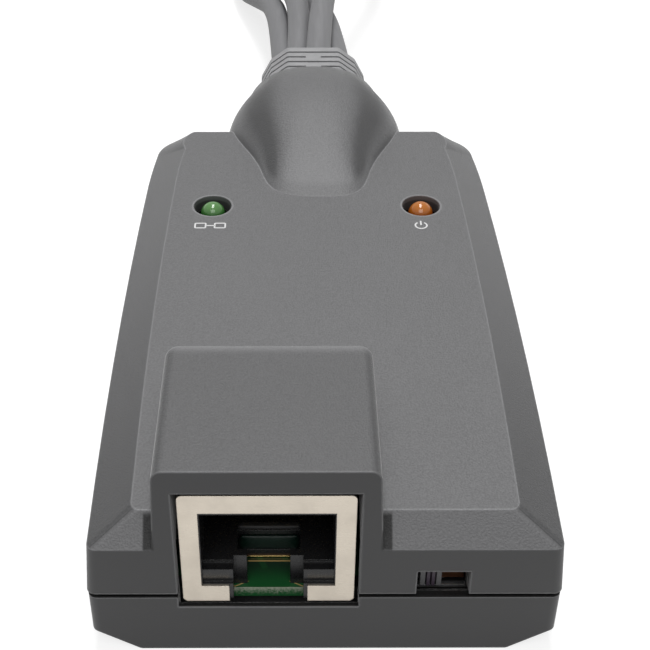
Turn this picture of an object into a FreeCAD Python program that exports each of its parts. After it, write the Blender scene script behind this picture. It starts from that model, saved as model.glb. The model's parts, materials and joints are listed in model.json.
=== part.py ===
import FreeCAD
import Part

import math
import os

# A KVM dongle: a moulded module with a network socket at the front and four leads at the back.
# Millimetres. X runs to the right as the socket is faced, Y runs from the front face to the leads,
# Z runs up. The model is built with Y = 0 on the front face, and stored with its origin under the
# middle of the case.

os.makedirs("parts", exist_ok=True)

# ---------------------------------------------------------------- case, driving dimensions
case_length = 74.5
case_half_front = 21.36  # half width at the foot of the bevel, at the front face
case_half_middle = 21.74  # the sides bow out a little
case_half_rear = 21.27
bow_middle = 0.4 * case_length  # where the sides are widest
bow_rear = case_length - 14.5  # where the sides start to close towards the rear corners
rear_half = case_half_rear - 5.07  # half width of the straight part of the back wall
shoulder_half = case_half_rear - 0.62  # half width where the rear corner starts
shoulder_back = 4.9  # how far that is from the back wall
front_corner = 0.9
side_draft = 0.5  # the upper shell widens by this much down to the seam
lower_step = 0.1  # the lower shell stands this much inside the upper one
top_height = 16.05
bevel_height = 2.6
bevel_front = 2.45
bevel_side = 3.95
bevel_rear = 2.4
rear_edge_round = 3.0
seam_height = 7.4
seam_gap = 0.45
keel_height = 2.4  # height of the chamfer along the bottom edges
keel_inset = 3.75
wall = 1.8
floor_wall = 1.6
lip_height = 1.2
lip_wall = 0.8
lip_play = 0.12

# ---------------------------------------------------------------- network socket and its hood
jack_x = -5.15
jack_width = 15.7
jack_height = 13.5
jack_depth = 15.0
jack_recess = 0.35
sheet = 0.3
opening_width = 12.2
opening_low = 2.0  # from the foot of the shield
opening_high = 11.35
notch_width = 7.15
cutout_play = 0.45
cutout_drop = 0.45  # the sill under the socket stands this far below the board's top
sill_thick = 0.6  # the front wall is thinned to this behind the sill
sill_depth = 1.6  # how far the thinned part reaches below the board
cutout_head = 0.55
hood_wall = 1.53
hood_roof = 2.61
hood_flare = 0.5
jack_clearance = 0.65  # behind the socket
hood_round = 1.0
plug_floor = 3.75  # floor of the plug space, above the board
plug_side = opening_width / 2 - 0.08
plug_roof = 10.9
plug_depth = 12.6
latch_width = 6.43
latch_throat = 4.0
latch_room = 5.85
latch_back = 5.65
ledge_top = 3.5  # above the board
ledge_back = 1.3
contact_pitch = 1.02
contact_wire = 0.45

# ---------------------------------------------------------------- board
board_top = 6.3
board_thick = 1.2
board_play = 0.46  # to the walls at the sides
board_front = wall + 0.2
board_back = case_length - wall - 1.2
boss_front = (case_half_front - 5.46, 10.0)
boss_rear = (case_half_front - 6.76, case_length - 10.0)
boss_radius = 2.5
screw_radius = 1.1
screw_head_radius = 1.95
screw_head = 1.3
screw_seat = 2.6  # height of the faces that the heads bear on
screw_length = 8.0

# ---------------------------------------------------------------- slide switch
knob_ribs = (0.45, 0.3, 0.3, 0.45)
knob_groove = 0.15
knob_width = sum(knob_ribs) + knob_groove * (len(knob_ribs) - 1)
knob_travel = 2.0
knob_end_play = 0.44
knob_play = 0.2
knob_recess = 1.25  # how far its ribs stay behind the front face
slot_left = case_half_front - 13.0
slot_width = knob_width + knob_travel + 2 * knob_end_play
slot_top = 10.57
switch_front = 2.1  # front of its frame, behind the front face
switch_width = slot_width + 4.3
switch_depth = 3.7
switch_height = 3.9
frame_sheet = 0.25
window_width = slot_width - 0.14
window_low = 0.2
window_high = 3.3
strip_thick = 0.15
strip_low = 0.85  # lower edge of the sliding contact, above the board

# ---------------------------------------------------------------- lamps
lamp_x = 12.52
lamp_y = case_length - 21.2
lamp_hole = 2.29
lamp_radius = 1.5
lamp_rim = 1.85
lamp_rim_height = 1.0
lamp_height = 4.6
lamp_rise = 0.35  # how far the lamp's top stands over the top face

# ---------------------------------------------------------------- cable nozzle and strain relief
nozzle_axis = 11.8
nozzle_rim = case_length + 8.0
nozzle_wall = 1.8
boot_half = 7.35
boot_rise = 7.0
boot_play = 0.15
boot_end = nozzle_rim + 8.6
boot_start = nozzle_rim - 5.9
neck_length = 3.0  # the part of the strain relief that the case closes round
neck_shrink = 0.8
groove_width = 0.45
groove_depth = 0.8
groove_pitch = 1.5
groove_count = 6
groove_bridge = 1.05

# ---------------------------------------------------------------- leads and their hank
lead = 3.6
lead_run = 66.9  # from the strain relief to the hank
tail_run = 20.0  # from the hank to the plugs
fold_radius = 3 * lead
fold_step = 3.8  # between the strands under the tie
layer_pitch = 3.7
tie_thick = 0.8
tie_width = 6.0

# ---------------------------------------------------------------- plugs on the leads
video_x = -12.8
video_half = 15.8
video_neck = 6.5
video_thick = 15.4
video_length = 33.0
flange_sheet = 0.8
flange_half = 15.3
flange_rise = 6.2
dsub_half = 8.2
dsub_rise = 3.95
dsub_draft = 10.0  # degrees
dsub_length = 5.8
dsub_sheet = 0.45
pin_pitch = 2.29
pin_row = 1.98
thumb_x = 12.5
thumb_radius = 2.9
usb_x = 12.9
usb_half = 8.0
usb_thick = 8.0
usb_length = 26.0
usb_shell_width = 12.0
usb_shell_height = 4.5
usb_shell_length = 14.7
usb_sheet = 0.3
audio_spread = 4.6
audio_radius = 4.25
audio_length = 22.0
audio_pin = 1.75
audio_pin_length = 14.0


# ================================================================ helpers
def block(x0, x1, y0, y1, z0, z1):
    """A box between two corners."""
    return Part.makeBox(x1 - x0, y1 - y0, z1 - z0, FreeCAD.Vector(x0, y0, z0))


def rod(x, y, z, radius, length, along=(0, 0, 1)):
    """A round rod that starts at a point and runs along an axis."""
    return Part.makeCylinder(radius, length, FreeCAD.Vector(x, y, z), FreeCAD.Vector(*along))


def fused(shapes):
    """One solid from shapes that touch or overlap."""
    shapes = list(shapes)
    return shapes[0].multiFuse(shapes[1:]).removeSplitter()


def group(shapes):
    """Separate solids that share a node."""
    return Part.makeCompound(list(shapes))


def wire_of(edges):
    """A closed or open wire from curves in order."""
    return Part.Wire([edge.toShape() for edge in edges])


def line(p, q):
    return Part.LineSegment(FreeCAD.Vector(*p), FreeCAD.Vector(*q))


def arc(p, q, turn):
    """An arc from p to q in a level plane that turns left by an angle in degrees."""
    a, b = FreeCAD.Vector(*p), FreeCAD.Vector(*q)
    chord = b - a
    right = FreeCAD.Vector(chord.y, -chord.x, 0)
    rise = math.tan(math.radians(turn) / 4) / 2
    return Part.Arc(a, (a + b) * 0.5 + right * rise, b)


def section(half_width, rise, drop, power, y, centre=nozzle_axis):
    """A closed superellipse across the nozzle: wide, high above its centre and deep below it."""
    points = []
    for k in range(24):
        c = math.cos(math.tau * k / 24)
        s = math.sin(math.tau * k / 24)
        x = half_width * math.copysign(abs(c) ** (2 / power), c)
        z = (rise if s > 0 else drop) * math.copysign(abs(s) ** (2 / power), s)
        points.append(FreeCAD.Vector(x, y, centre + z))
    curve = Part.BSplineCurve()
    curve.interpolate(Points=points, PeriodicFlag=True)
    return Part.Wire([curve.toShape()])


def lofted(wires, ruled=False):
    return Part.makeLoft(wires, True, ruled)


# ================================================================ case
def outline(z, side=0.0, front=0.0, back=0.0, corner=front_corner):
    """The case in plan at a height, drawn in by side, front and back."""
    rear = case_length - back
    start = case_half_front - side
    shoulder = rear - shoulder_back

    def right_side():
        spine = case_half_middle - side
        hip = case_half_rear - side
        yield arc((start - corner, front, z), (start, front + corner, z), 90)
        yield Part.Arc(
            FreeCAD.Vector(start, front + corner, z),
            FreeCAD.Vector(spine, bow_middle, z),
            FreeCAD.Vector(hip, bow_rear, z),
        )
        yield arc((hip, bow_rear, z), (shoulder_half - side, shoulder, z), 5)
        yield arc((shoulder_half - side, shoulder, z), (rear_half - side / 4, rear, z), 82)

    curves = list(right_side())
    mirrored = []
    for curve in reversed(curves):
        a, m, b = (curve.value(t) for t in (
            curve.FirstParameter,
            (curve.FirstParameter + curve.LastParameter) / 2,
            curve.LastParameter,
        ))
        mirrored.append(Part.Arc(*(FreeCAD.Vector(-p.x, p.y, p.z) for p in (b, m, a))))
    back_half = rear_half - side / 4
    back_line = line((back_half, rear, z), (-back_half, rear, z))
    front_line = line((-(start - corner), front, z), (start - corner, front, z))
    return wire_of([*curves, back_line, *mirrored, front_line])


bevel_foot = top_height - bevel_height


def upper_body(thin=0.0, low=seam_height + seam_gap / 2):
    """The upper shell's outside, or with a wall's thickness taken off it, its inside."""
    slope = thin * 0.8
    return lofted(
        [
            outline(low, side=thin - side_draft, front=thin, back=thin),
            outline(bevel_foot - slope / 2, side=thin, front=thin, back=thin),
            outline(
                top_height - thin,
                side=bevel_side + slope,
                front=bevel_front + slope,
                back=bevel_rear + slope,
            ),
        ],
        ruled=True,
    )


def lower_body(thin=0.0, low=0.0, high=seam_height - seam_gap / 2):
    """The lower shell's outside, or its inside with a wall's thickness taken off."""
    side = lower_step - side_draft + thin
    return lofted(
        [
            outline(low, side=side + keel_inset, front=thin, back=keel_inset / 2 + thin),
            outline(keel_height + low, side=side, front=thin, back=thin),
            outline(high, side=side, front=thin, back=thin),
        ],
        ruled=True,
    )


# stations along the nozzle: distance from its rim, half width, top, bottom and squareness
NOZZLE = (
    (-29.5, 4.2, 15.2, 6.5, 2.6),
    (-22.8, 7.4, 17.7, 4.5, 3.1),
    (-16.9, 8.95, 19.9, 2.6, 2.6),
    (-10.9, 11.5, 21.3, 1.2, 2.3),
    (-5.5, 10.9, 21.4, 1.7, 2.3),
    (0.0, 9.4, 20.1, 3.4, 2.3),
)


def nozzle_body(thin=0.0):
    """The domed cable nozzle's outside, or its inside with a wall's thickness taken off."""
    wires = []
    for y, half_width, top, bottom, power in NOZZLE:
        wires.append(
            section(
                half_width - thin,
                top - thin - nozzle_axis,
                nozzle_axis - bottom - thin,
                power,
                nozzle_rim + y,
            )
        )
    return lofted(wires)


jack_half = jack_width / 2
cutout_low = board_top - cutout_drop
cutout_high = board_top + jack_height + cutout_head
hood_half = jack_half + cutout_play + hood_wall
hood_height = cutout_high + hood_roof
hood_back = jack_recess + jack_depth + jack_clearance + wall


def hood_body():
    """The raised hood over the socket, wider at its foot, with rounded rear corners."""
    half, flare, back = hood_half, hood_flare, hood_back
    foot = bevel_foot - 0.6

    def ring(grow, z, corner):
        x0, x1 = jack_x - half - grow, jack_x + half + grow
        rear = back + grow
        return wire_of(
            [
                line((x0, 0, z), (x1, 0, z)),
                line((x1, 0, z), (x1, rear - corner, z)),
                arc((x1, rear - corner, z), (x1 - corner, rear, z), 90),
                line((x1 - corner, rear, z), (x0 + corner, rear, z)),
                arc((x0 + corner, rear, z), (x0, rear - corner, z), 90),
                line((x0, rear - corner, z), (x0, 0, z)),
            ]
        )

    solid = lofted([ring(flare, foot, 1.6), ring(0, hood_height, 1.3)], ruled=True)
    rim = [
        edge
        for edge in solid.Edges
        if edge.BoundBox.ZMin > hood_height - 0.01 and edge.BoundBox.YMax > 0.01
    ]
    return solid.makeFillet(hood_round, rim)




def jack_cutout(front=-1.0, back=hood_back - wall):
    """The space that the socket stands in, from the front face to the hood's back wall."""
    half = jack_half + cutout_play
    return block(jack_x - half, jack_x + half, front, back, cutout_low, cutout_high)


def sill_relief():
    """The space behind the sill, open to the inside, that keeps the wall off the board's edge."""
    half = jack_half + cutout_play
    low = board_top - board_thick - sill_depth
    return block(jack_x - half, jack_x + half, sill_thick, wall + 1, low, cutout_low)


def boot_outline(y, grow=0.0):
    """The strain relief in section: flat on top, with broken shoulders and upright sides."""
    shoulder = ((3.6, 7.0), (5.95, 5.25), (7.35, 2.6))
    scale_x = (boot_half + grow) / boot_half
    scale_z = (boot_rise + grow) / boot_rise
    quarter = [(x * scale_x, z * scale_z) for x, z in shoulder]
    ring = (
        quarter
        + [(x, -z) for x, z in reversed(quarter)]
        + [(-x, -z) for x, z in quarter]
        + [(-x, z) for x, z in reversed(quarter)]
    )
    points = [FreeCAD.Vector(x, y, nozzle_axis + z) for x, z in ring]
    return Part.makePolygon([*points, points[0]])


def boot_prism(y0, y1, grow=0.0):
    """A length of the strain relief's section."""
    face = Part.Face(boot_outline(y0, grow))
    solid = face.extrude(FreeCAD.Vector(0, y1 - y0, 0))
    along = [e for e in solid.Edges if e.BoundBox.YLength > (y1 - y0) * 0.9]
    return solid.makeFillet(0.9, along)


def half_space(z, above):
    """A large block above or below a height."""
    reach = 200.0
    low, high = (z, z + reach) if above else (z - reach, z)
    return block(-reach, reach, -reach, reach, low, high)


def ring_between(low, high, near, far):
    """An upright band that follows the case's outline, from one inset to a deeper one."""
    def prism(inset):
        face = Part.Face(outline(low, side=inset, front=inset, back=inset))
        return face.extrude(FreeCAD.Vector(0, 0, high - low))

    return prism(near).cut(prism(far))


seam_top = seam_height + seam_gap / 2
seam_bottom = seam_height - seam_gap / 2
lip_top = seam_height + lip_height
slot = block(slot_left, slot_left + slot_width, -1, wall + 1, seam_bottom, slot_top)
slot_relief = block(
    slot_left - 0.5, slot_left + slot_width + 0.5, wall / 2, wall + 1, board_top, seam_bottom
)
neck = block(-20, 20, nozzle_rim - neck_length, nozzle_rim + 1, 0, 30)
rim = boot_prism(nozzle_rim - neck_length - 1, nozzle_rim + 1, boot_play - neck_shrink)
roof = top_height - wall


def pair(place):
    """A place and its mirror image across the case."""
    x, y = place
    return [(-x, y), (x, y)]


boss_places = pair(boss_front) + pair(boss_rear)
screw_places = pair(boss_rear)


def upper_shell():
    """The upper moulding: bevelled case, hood over the socket and domed nozzle, all one wall."""
    body = upper_body()
    rear_edge = [
        e
        for e in body.Edges
        if e.BoundBox.ZMin > top_height - 0.01 and e.BoundBox.YMin > case_length - bevel_rear - 0.5
    ]
    body = body.makeFillet(rear_edge_round, rear_edge)
    nozzle = nozzle_body().common(half_space(seam_top, above=True))
    outside = body.fuse(nozzle).fuse(hood_body())
    inside = upper_body(wall, low=seam_top).fuse(
        nozzle_body(nozzle_wall).common(half_space(seam_top - 1, above=True))
    )
    solid = outside.cut(inside.cut(neck)).cut(jack_cutout()).cut(slot).cut(rim)
    for x, y in boss_places:
        solid = solid.fuse(rod(x, y, board_top, boss_radius, roof + 0.5 - board_top))
    for x, y in screw_places:
        solid = solid.cut(rod(x, y, board_top - 1, screw_radius, 6.5))
    for x in (-lamp_x, lamp_x):
        solid = solid.cut(rod(x, lamp_y, roof - 2, lamp_hole, wall + 4))
    rebate = ring_between(seam_top - 1, lip_top + lip_play, wall - lip_wall - lip_play, wall + 1)
    return solid.cut(rebate.cut(half_space(seam_top - 2, above=False)))


def lower_shell():
    """The lower moulding: chamfered floor, walls with a locating lip, and the board's posts."""
    nozzle = nozzle_body().common(half_space(seam_bottom, above=False))
    outside = lower_body().fuse(nozzle.common(half_space(0, above=True)))
    inside = lower_body(wall, low=floor_wall, high=seam_bottom).fuse(
        nozzle_body(nozzle_wall).common(half_space(floor_wall, above=True))
    )
    lip = ring_between(seam_bottom - 0.5, lip_top, wall - lip_wall, wall)
    solid = outside.cut(inside.cut(neck))
    solid = solid.fuse(lip.cut(nozzle_body(nozzle_wall)))
    solid = solid.cut(rim).cut(jack_cutout()).cut(sill_relief()).cut(slot).cut(slot_relief)
    post_high = board_top - board_thick
    for x, y in boss_places:
        solid = solid.fuse(rod(x, y, floor_wall - 0.3, boss_radius + 0.3, post_high - floor_wall + 0.3))
    for x, y in screw_places:
        solid = solid.cut(rod(x, y, -1, screw_radius + 0.15, board_top + 2))
        solid = solid.cut(rod(x, y, -1, screw_head_radius + 0.2, 1 + screw_seat))
    return solid



# ================================================================ network socket
shield_front = jack_recess
shield_back = jack_recess + jack_depth
shield_top = board_top + jack_height
housing_half = jack_half - sheet
housing_front = shield_front + sheet
housing_back = shield_back - sheet
housing_top = shield_top - sheet
contact_high = board_top + plug_roof + 2 * contact_wire
plug_low = board_top + plug_floor
plug_high = board_top + plug_roof


def jack_shield():
    """The plated sheet round the socket: a folded box, its window and the notch under it."""
    box = block(
        jack_x - jack_half, jack_x + jack_half, shield_front, shield_back, board_top, shield_top
    )
    upright = [
        e for e in box.Edges if e.BoundBox.YLength > jack_depth - 1 and e.BoundBox.ZMin > board_top + 1
    ]
    box = box.makeFillet(0.5, upright)
    feet = [
        e
        for e in box.Edges
        if e.BoundBox.YLength > jack_depth - 1 and e.BoundBox.ZMax < board_top + 0.01
    ]
    box = box.makeChamfer(0.35, feet)
    room = block(
        jack_x - housing_half,
        jack_x + housing_half,
        housing_front,
        housing_back,
        board_top - 1,
        housing_top,
    )
    window = block(
        jack_x - opening_width / 2,
        jack_x + opening_width / 2,
        shield_front - 1,
        housing_front + 1,
        board_top + opening_low,
        board_top + opening_high,
    )
    notch = block(
        jack_x - notch_width / 2,
        jack_x + notch_width / 2,
        shield_front - 1,
        housing_front + 1,
        board_top - 1,
        board_top + opening_low + 1,
    )
    return box.cut(room).cut(window).cut(notch)


def centred(half, y0, y1, z0, z1):
    """A box centred on the socket."""
    return block(jack_x - half, jack_x + half, y0, y1, z0, z1)


def jack_housing():
    """The black moulding: the plug's space, the ledges, the latch channel and the contact comb."""
    body = centred(housing_half, housing_front, housing_back, board_top, housing_top)
    plug = centred(plug_side, housing_front - 1, housing_front + plug_depth, plug_low, plug_high)
    mouth = centred(
        plug_side, housing_front - 1, housing_front + 0.35, board_top + opening_low, plug_high
    )
    ledge = centred(
        plug_side, housing_front - 1, housing_front + ledge_back, board_top + ledge_top, plug_high
    )
    front_channel = centred(
        latch_width / 2, housing_front - 1, board_front + 0.5, board_top - 1, plug_low + 0.1
    )
    throat = centred(
        latch_throat / 2, housing_front, board_front + 1.6, board_top - 1, plug_low + 0.1
    )
    room = centred(
        latch_room / 2,
        board_front + 1.3,
        housing_front + latch_back,
        board_top - 1,
        plug_low + 0.1,
    )
    solid = body.cut(plug).cut(mouth).cut(ledge).cut(front_channel).cut(throat).cut(room)
    sill = centred(
        latch_room / 2 + 0.5,
        housing_front + latch_back - 0.6,
        housing_front + latch_back + 0.2,
        plug_low - 0.55,
        plug_low,
    )
    foot = centred(
        latch_room / 2 + 0.5,
        housing_front + latch_back - 0.6,
        housing_front + latch_back + 0.2,
        board_top + 0.55,
        board_top + 1.1,
    )
    solid = solid.fuse(sill).fuse(foot)
    for k in range(8):
        x = contact_x(k)
        gap = contact_wire + 0.2
        solid = solid.cut(
            block(
                x - gap / 2,
                x + gap / 2,
                housing_front + 0.8,
                housing_front + plug_depth + 1,
                plug_high - 1,
                contact_high,
            )
        )
    return solid


def contact_x(k):
    """Where the k-th of the eight contacts stands."""
    return jack_x + (k - 3.5) * contact_pitch


def jack_contacts():
    """Eight spring wires: back along their slots under the roof, then down towards the rear."""
    half = contact_wire / 2
    front = housing_front + 1.4
    tip_y = housing_front + 10.6
    high = contact_high
    tip = plug_low + 4.75
    wires = []
    for k in range(8):
        x = contact_x(k) - half
        profile = (
            (housing_front + plug_depth + 1, high),
            (front, high),
            (front - 0.5, high - 0.45),
            (tip_y, tip),
            (tip_y + 0.25, tip + contact_wire),
            (front + 0.6, high - contact_wire),
            (housing_front + plug_depth + 1, high - contact_wire),
        )
        face = Part.Face(
            Part.makePolygon([FreeCAD.Vector(x, y, z) for y, z in (*profile, profile[0])])
        )
        wires.append(face.extrude(FreeCAD.Vector(contact_wire, 0, 0)))
    return group(wires)


# ================================================================ board and what stands on it
def main_board():
    """The circuit board, cut to the case, with holes for the screws and the lamps' leads."""
    face = Part.Face(
        outline(
            board_top - board_thick,
            side=wall + board_play,
            front=board_front,
            back=case_length - board_back,
        )
    )
    board = face.extrude(FreeCAD.Vector(0, 0, board_thick))
    for x, y in screw_places:
        board = board.cut(rod(x, y, 0, screw_radius + 0.2, 20))
    for x, y in lead_holes():
        board = board.cut(rod(x, y, 0, 0.45, 20))
    return board


def on_board(x, y, width, length, height, sink=0.0):
    """A body that stands on the board, given its middle."""
    low = board_top - sink
    return block(x - width / 2, x + width / 2, y - length / 2, y + length / 2, low, low + height)


def chip(x, y, width, length, height, pins, pitch):
    """A flat package and its two rows of bent pins, as one body."""
    stand = 0.15
    body = block(
        x - width / 2,
        x + width / 2,
        y - length / 2,
        y + length / 2,
        board_top + stand,
        board_top + stand + height,
    )
    edges = [e for e in body.Edges if e.BoundBox.ZMin > board_top + stand + height - 0.01]
    body = body.makeChamfer(0.2, edges)
    legs = []
    for side in (-1, 1):
        for k in range(pins):
            py = y + (k - (pins - 1) / 2) * pitch
            inner = x + side * (width / 2 - 0.2)
            outer = x + side * (width / 2 + 0.9)
            legs.append(
                block(
                    min(inner, outer),
                    max(inner, outer),
                    py - pitch / 5,
                    py + pitch / 5,
                    board_top,
                    board_top + 0.35,
                )
            )
    return fused([body, *legs])


board_edge = case_half_front - wall - board_play


def controller_chip():
    return chip(-3.5, board_back - 27.5, 12.0, 12.0, 1.4, 12, 0.9)


def video_chip():
    return chip(board_edge - 8.1, board_back - 38.5, 5.3, 9.0, 1.5, 7, 1.27)


def network_magnetics():
    return chip(jack_x + 0.65, shield_back + 11.65, 9.4, 14.0, 5.0, 8, 1.6)


def crystal():
    """The crystal's can: an oval metal cap on the board."""
    half, radius, height = 3.5, 1.7, 3.2
    x, y = board_edge - 9.6, board_back - 26.5
    flat = on_board(x, y, 2 * half, 2 * radius, height)
    return fused([flat, *(rod(x + d, y, board_top, radius, height) for d in (-half, half))])


def capacitors():
    """Two round capacitors."""
    return group(rod(5.1 - board_edge, board_back - d, board_top, 2.6, 6.0) for d in (43.5, 35.5))


header_y = board_back - 9.5
header_half = 7.5
header_height = 3.6
tail_start = boot_start - 5.6
harness_knee = 12.4


def harness_header():
    """The white header that the leads' wires plug into."""
    body = on_board(0, header_y, 2 * header_half, 5.0, header_height)
    return body.cut(
        on_board(0, header_y, 2 * header_half - 1.6, 3.4, header_height, sink=-1.2)
    )


# where each lead leaves the strain relief: across and up
LEAD_EXITS = {
    "usb": (-3.85, 10.5),
    "audio_mic": (-2.1, 13.75),
    "video": (0.65, 16.3),
    "audio_out": (4.1, 13.3),
}


def cable_tails():
    """The leads' jackets where they come out of the strain relief inside the case."""
    return group(
        rod(x, tail_start, z, lead / 2, boot_start - tail_start, (0, 1, 0))
        for x, z in LEAD_EXITS.values()
    )


def bent_path(points):
    """Straight runs through points, joined by arcs that touch both runs. Also returns the radii."""
    corners = [FreeCAD.Vector(*p) for p in points]
    edges, radii = [], []
    start = corners[0]
    for before, corner, after in zip(corners, corners[1:], corners[2:]):
        back, ahead = before - corner, after - corner
        reach = 0.45 * min(back.Length, ahead.Length)
        back.normalize()
        ahead.normalize()
        half_turn = (math.pi - back.getAngle(ahead)) / 2
        radius = reach / math.tan(half_turn)
        inward = (back + ahead).normalize()
        middle = corner + inward * (radius * (1 / math.cos(half_turn) - 1))
        a, b = corner + back * reach, corner + ahead * reach
        edges += [Part.LineSegment(start, a), Part.Arc(a, middle, b)]
        radii.append(radius)
        start = b
    edges.append(Part.LineSegment(start, corners[-1]))
    return wire_of(edges), radii


def tube(points, radius):
    """A round tube along a bent path, and the radii of its bends."""
    path, radii = bent_path(points)
    start = FreeCAD.Vector(*points[0])
    ahead = FreeCAD.Vector(*points[1]) - start
    ring = Part.Wire([Part.Circle(start, ahead, radius).toShape()])
    return path.makePipeShell([ring], True, False), path.Length, radii


def harness_wires():
    """A bundle of wires from each jacket, forward and down into the header."""
    bundles = []
    for k, (x, z) in enumerate(LEAD_EXITS.values()):
        foot_x = (k - 1.5) * 3.4
        points = (
            (x, tail_start, z),
            (foot_x, header_y, harness_knee),
            (foot_x, header_y, board_top + 1.2),
        )
        bundles.append(tube(points, 0.8)[0])
    return group(bundles)


# ================================================================ slide switch
switch_middle = slot_left + slot_width / 2
switch_left = switch_middle - switch_width / 2
frame_back = switch_front + switch_depth
frame_inside = switch_front + frame_sheet
knob_left = slot_left + knob_end_play
knob_low = seam_bottom + knob_play
knob_high = board_top + window_high - knob_play
foot_front = frame_inside + 0.1 + strip_thick
foot_back = foot_front + 1.2


def switch_frame():
    """The folded steel cover: front with its window, roof, back and two ends."""
    x0, x1 = switch_left, switch_left + switch_width
    z1 = board_top + switch_height
    shell = block(x0, x1, switch_front, frame_back, board_top, z1)
    room = block(
        x0 + frame_sheet,
        x1 - frame_sheet,
        switch_front + frame_sheet,
        frame_back - frame_sheet,
        board_top - 1,
        z1 - frame_sheet,
    )
    half = window_width / 2
    window = block(
        switch_middle - half,
        switch_middle + half,
        switch_front - 1,
        switch_front + frame_sheet + 0.2,
        board_top + window_low,
        board_top + window_high,
    )
    return shell.cut(room).cut(window)


def switch_base():
    """The insulating base inside the frame, with the channel that the knob's foot runs in."""
    x0 = switch_left + frame_sheet
    x1 = switch_left + switch_width - frame_sheet
    inside_back = frame_back - frame_sheet
    floor = block(x0, x1, switch_front + frame_sheet, inside_back, board_top, board_top + 0.45)
    back = block(
        x0, x1, foot_back + 0.4, inside_back, board_top, board_top + switch_height - frame_sheet
    )
    return fused([floor, back])


def switch_contact():
    """The sliding contact: a copper strip beside the knob, carried on its foot."""
    start = knob_left + knob_width
    end = switch_left + switch_width - frame_sheet - 0.1 - knob_travel
    low = board_top + strip_low
    return block(start, end, foot_front - strip_thick, foot_front, low, low + 0.8)


def switch_knob():
    """The ribbed knob and its foot, at the left end of its travel."""
    x0, x1 = knob_left, knob_left + knob_width
    body = block(x0, x1, knob_recess, foot_front, knob_low, knob_high)
    x = x0
    for rib in knob_ribs[:-1]:
        x += rib
        body = body.cut(
            block(x, x + knob_groove, knob_recess - 1, knob_recess + 0.5, knob_low - 1, knob_high + 1)
        )
        x += knob_groove
    foot = block(
        x0 - 0.45, x1 + 0.45, foot_front, foot_back, board_top + 0.6, knob_high + 0.1
    )
    return fused([body, foot])


# ================================================================ lamps
lamp_top = top_height + lamp_rise
lamp_foot = lamp_top - lamp_height


def lead_holes():
    """Where the lamps' four leads stand."""
    return [(side * lamp_x + d, lamp_y) for side in (-1, 1) for d in (-1.27, 1.27)]


def lamp(side):
    """A 3 mm lamp: rim, barrel and dome."""
    x = side * lamp_x
    barrel = lamp_height - lamp_radius
    dome = Part.makeSphere(
        lamp_radius, FreeCAD.Vector(x, lamp_y, lamp_foot + barrel), FreeCAD.Vector(0, 0, 1), 0, 90, 360
    )
    return fused(
        [
            rod(x, lamp_y, lamp_foot, lamp_rim, lamp_rim_height),
            rod(x, lamp_y, lamp_foot, lamp_radius, barrel),
            dome,
        ]
    )


def lamp_wires():
    """The lamps' square leads, from under each lamp down through the board."""
    half = 0.25
    low = board_top - board_thick - 0.8
    return group(
        block(x - half, x + half, y - half, y + half, low, lamp_foot) for x, y in lead_holes()
    )


def lamp_spacers():
    """The black sleeves that hold the lamps at their height."""
    spacers = []
    for side in (-1, 1):
        body = rod(side * lamp_x, lamp_y, board_top, lamp_rim, lamp_foot - board_top)
        for x, y in lead_holes():
            body = body.cut(rod(x, y, board_top - 1, 0.45, 12))
        spacers.append(body)
    return group(spacers)


# ================================================================ strain relief
def groove_ring(y, split_high):
    """A slot round the strain relief, bridged over and under, or else at its two sides."""
    ring = boot_prism(y, y + groove_width, 0.5).cut(
        boot_prism(y - 0.1, y + groove_width + 0.1, -groove_depth)
    )
    b, reach = groove_bridge, 20.0
    if split_high:
        bridge = block(-b, b, y - 1, y + 1, nozzle_axis - reach, nozzle_axis + reach)
    else:
        bridge = block(-reach, reach, y - 1, y + 1, nozzle_axis - b, nozzle_axis + b)
    return ring.cut(bridge)


def strain_relief():
    """The ribbed boot: a full head inside the nozzle, a neck in its rim, staggered slots outside."""
    neck_start = nozzle_rim - neck_length - 0.1
    body = fused(
        [
            boot_prism(boot_start, neck_start),
            boot_prism(neck_start, nozzle_rim + 0.1, -neck_shrink),
            boot_prism(nozzle_rim + 0.1, boot_end),
        ]
    )
    first = boot_end - 1.7 - groove_pitch * (groove_count - 1)
    for k in range(groove_count):
        split_high = (groove_count - 1 - k) % 2 == 1
        body = body.cut(groove_ring(first + groove_pitch * k, split_high))
    return body


def case_screws():
    """Two self-tapping screws with pan heads, up through the lower shell and the board."""
    screws = []
    for x, y in screw_places:
        head = rod(x, y, screw_seat - screw_head, screw_head_radius, screw_head)
        shank = rod(x, y, screw_seat, screw_radius - 0.05, screw_length)
        screws.append(fused([head, shank]))
    return group(screws)


# ================================================================ leads
# Each lead runs from the strain relief to the hank, is folded there, and runs on to its plug.
# Every fold in the hank is a drop-shaped loop: two strands part at the tie on wide arcs and
# join round a turn. The strand outside the loop keeps its distance on arcs of the same centres.
open_radius = fold_radius + fold_step
fold_x = fold_step / 2  # the loops are centred between the strands they join
fold_turn = math.acos((open_radius + fold_x) / (open_radius + fold_radius))
fold_neck = (open_radius + fold_radius) * math.sin(fold_turn)
hank_half_waist = fold_step + lead / 2
entry_half = open_radius - fold_x
hank_half = entry_half + lead / 2
hank_start = boot_end + lead_run
hank_length = tie_width + 2 * (fold_neck + fold_radius + lead / 2)
hank_end = hank_start + hank_length
plug_back = hank_end + tail_run
video_z = video_thick / 2
usb_z = usb_thick / 2
audio_z = usb_thick + audio_radius


def layer(k):
    """The height of the k-th layer of the hank."""
    return tie_thick + lead / 2 + k * layer_pitch


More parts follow.
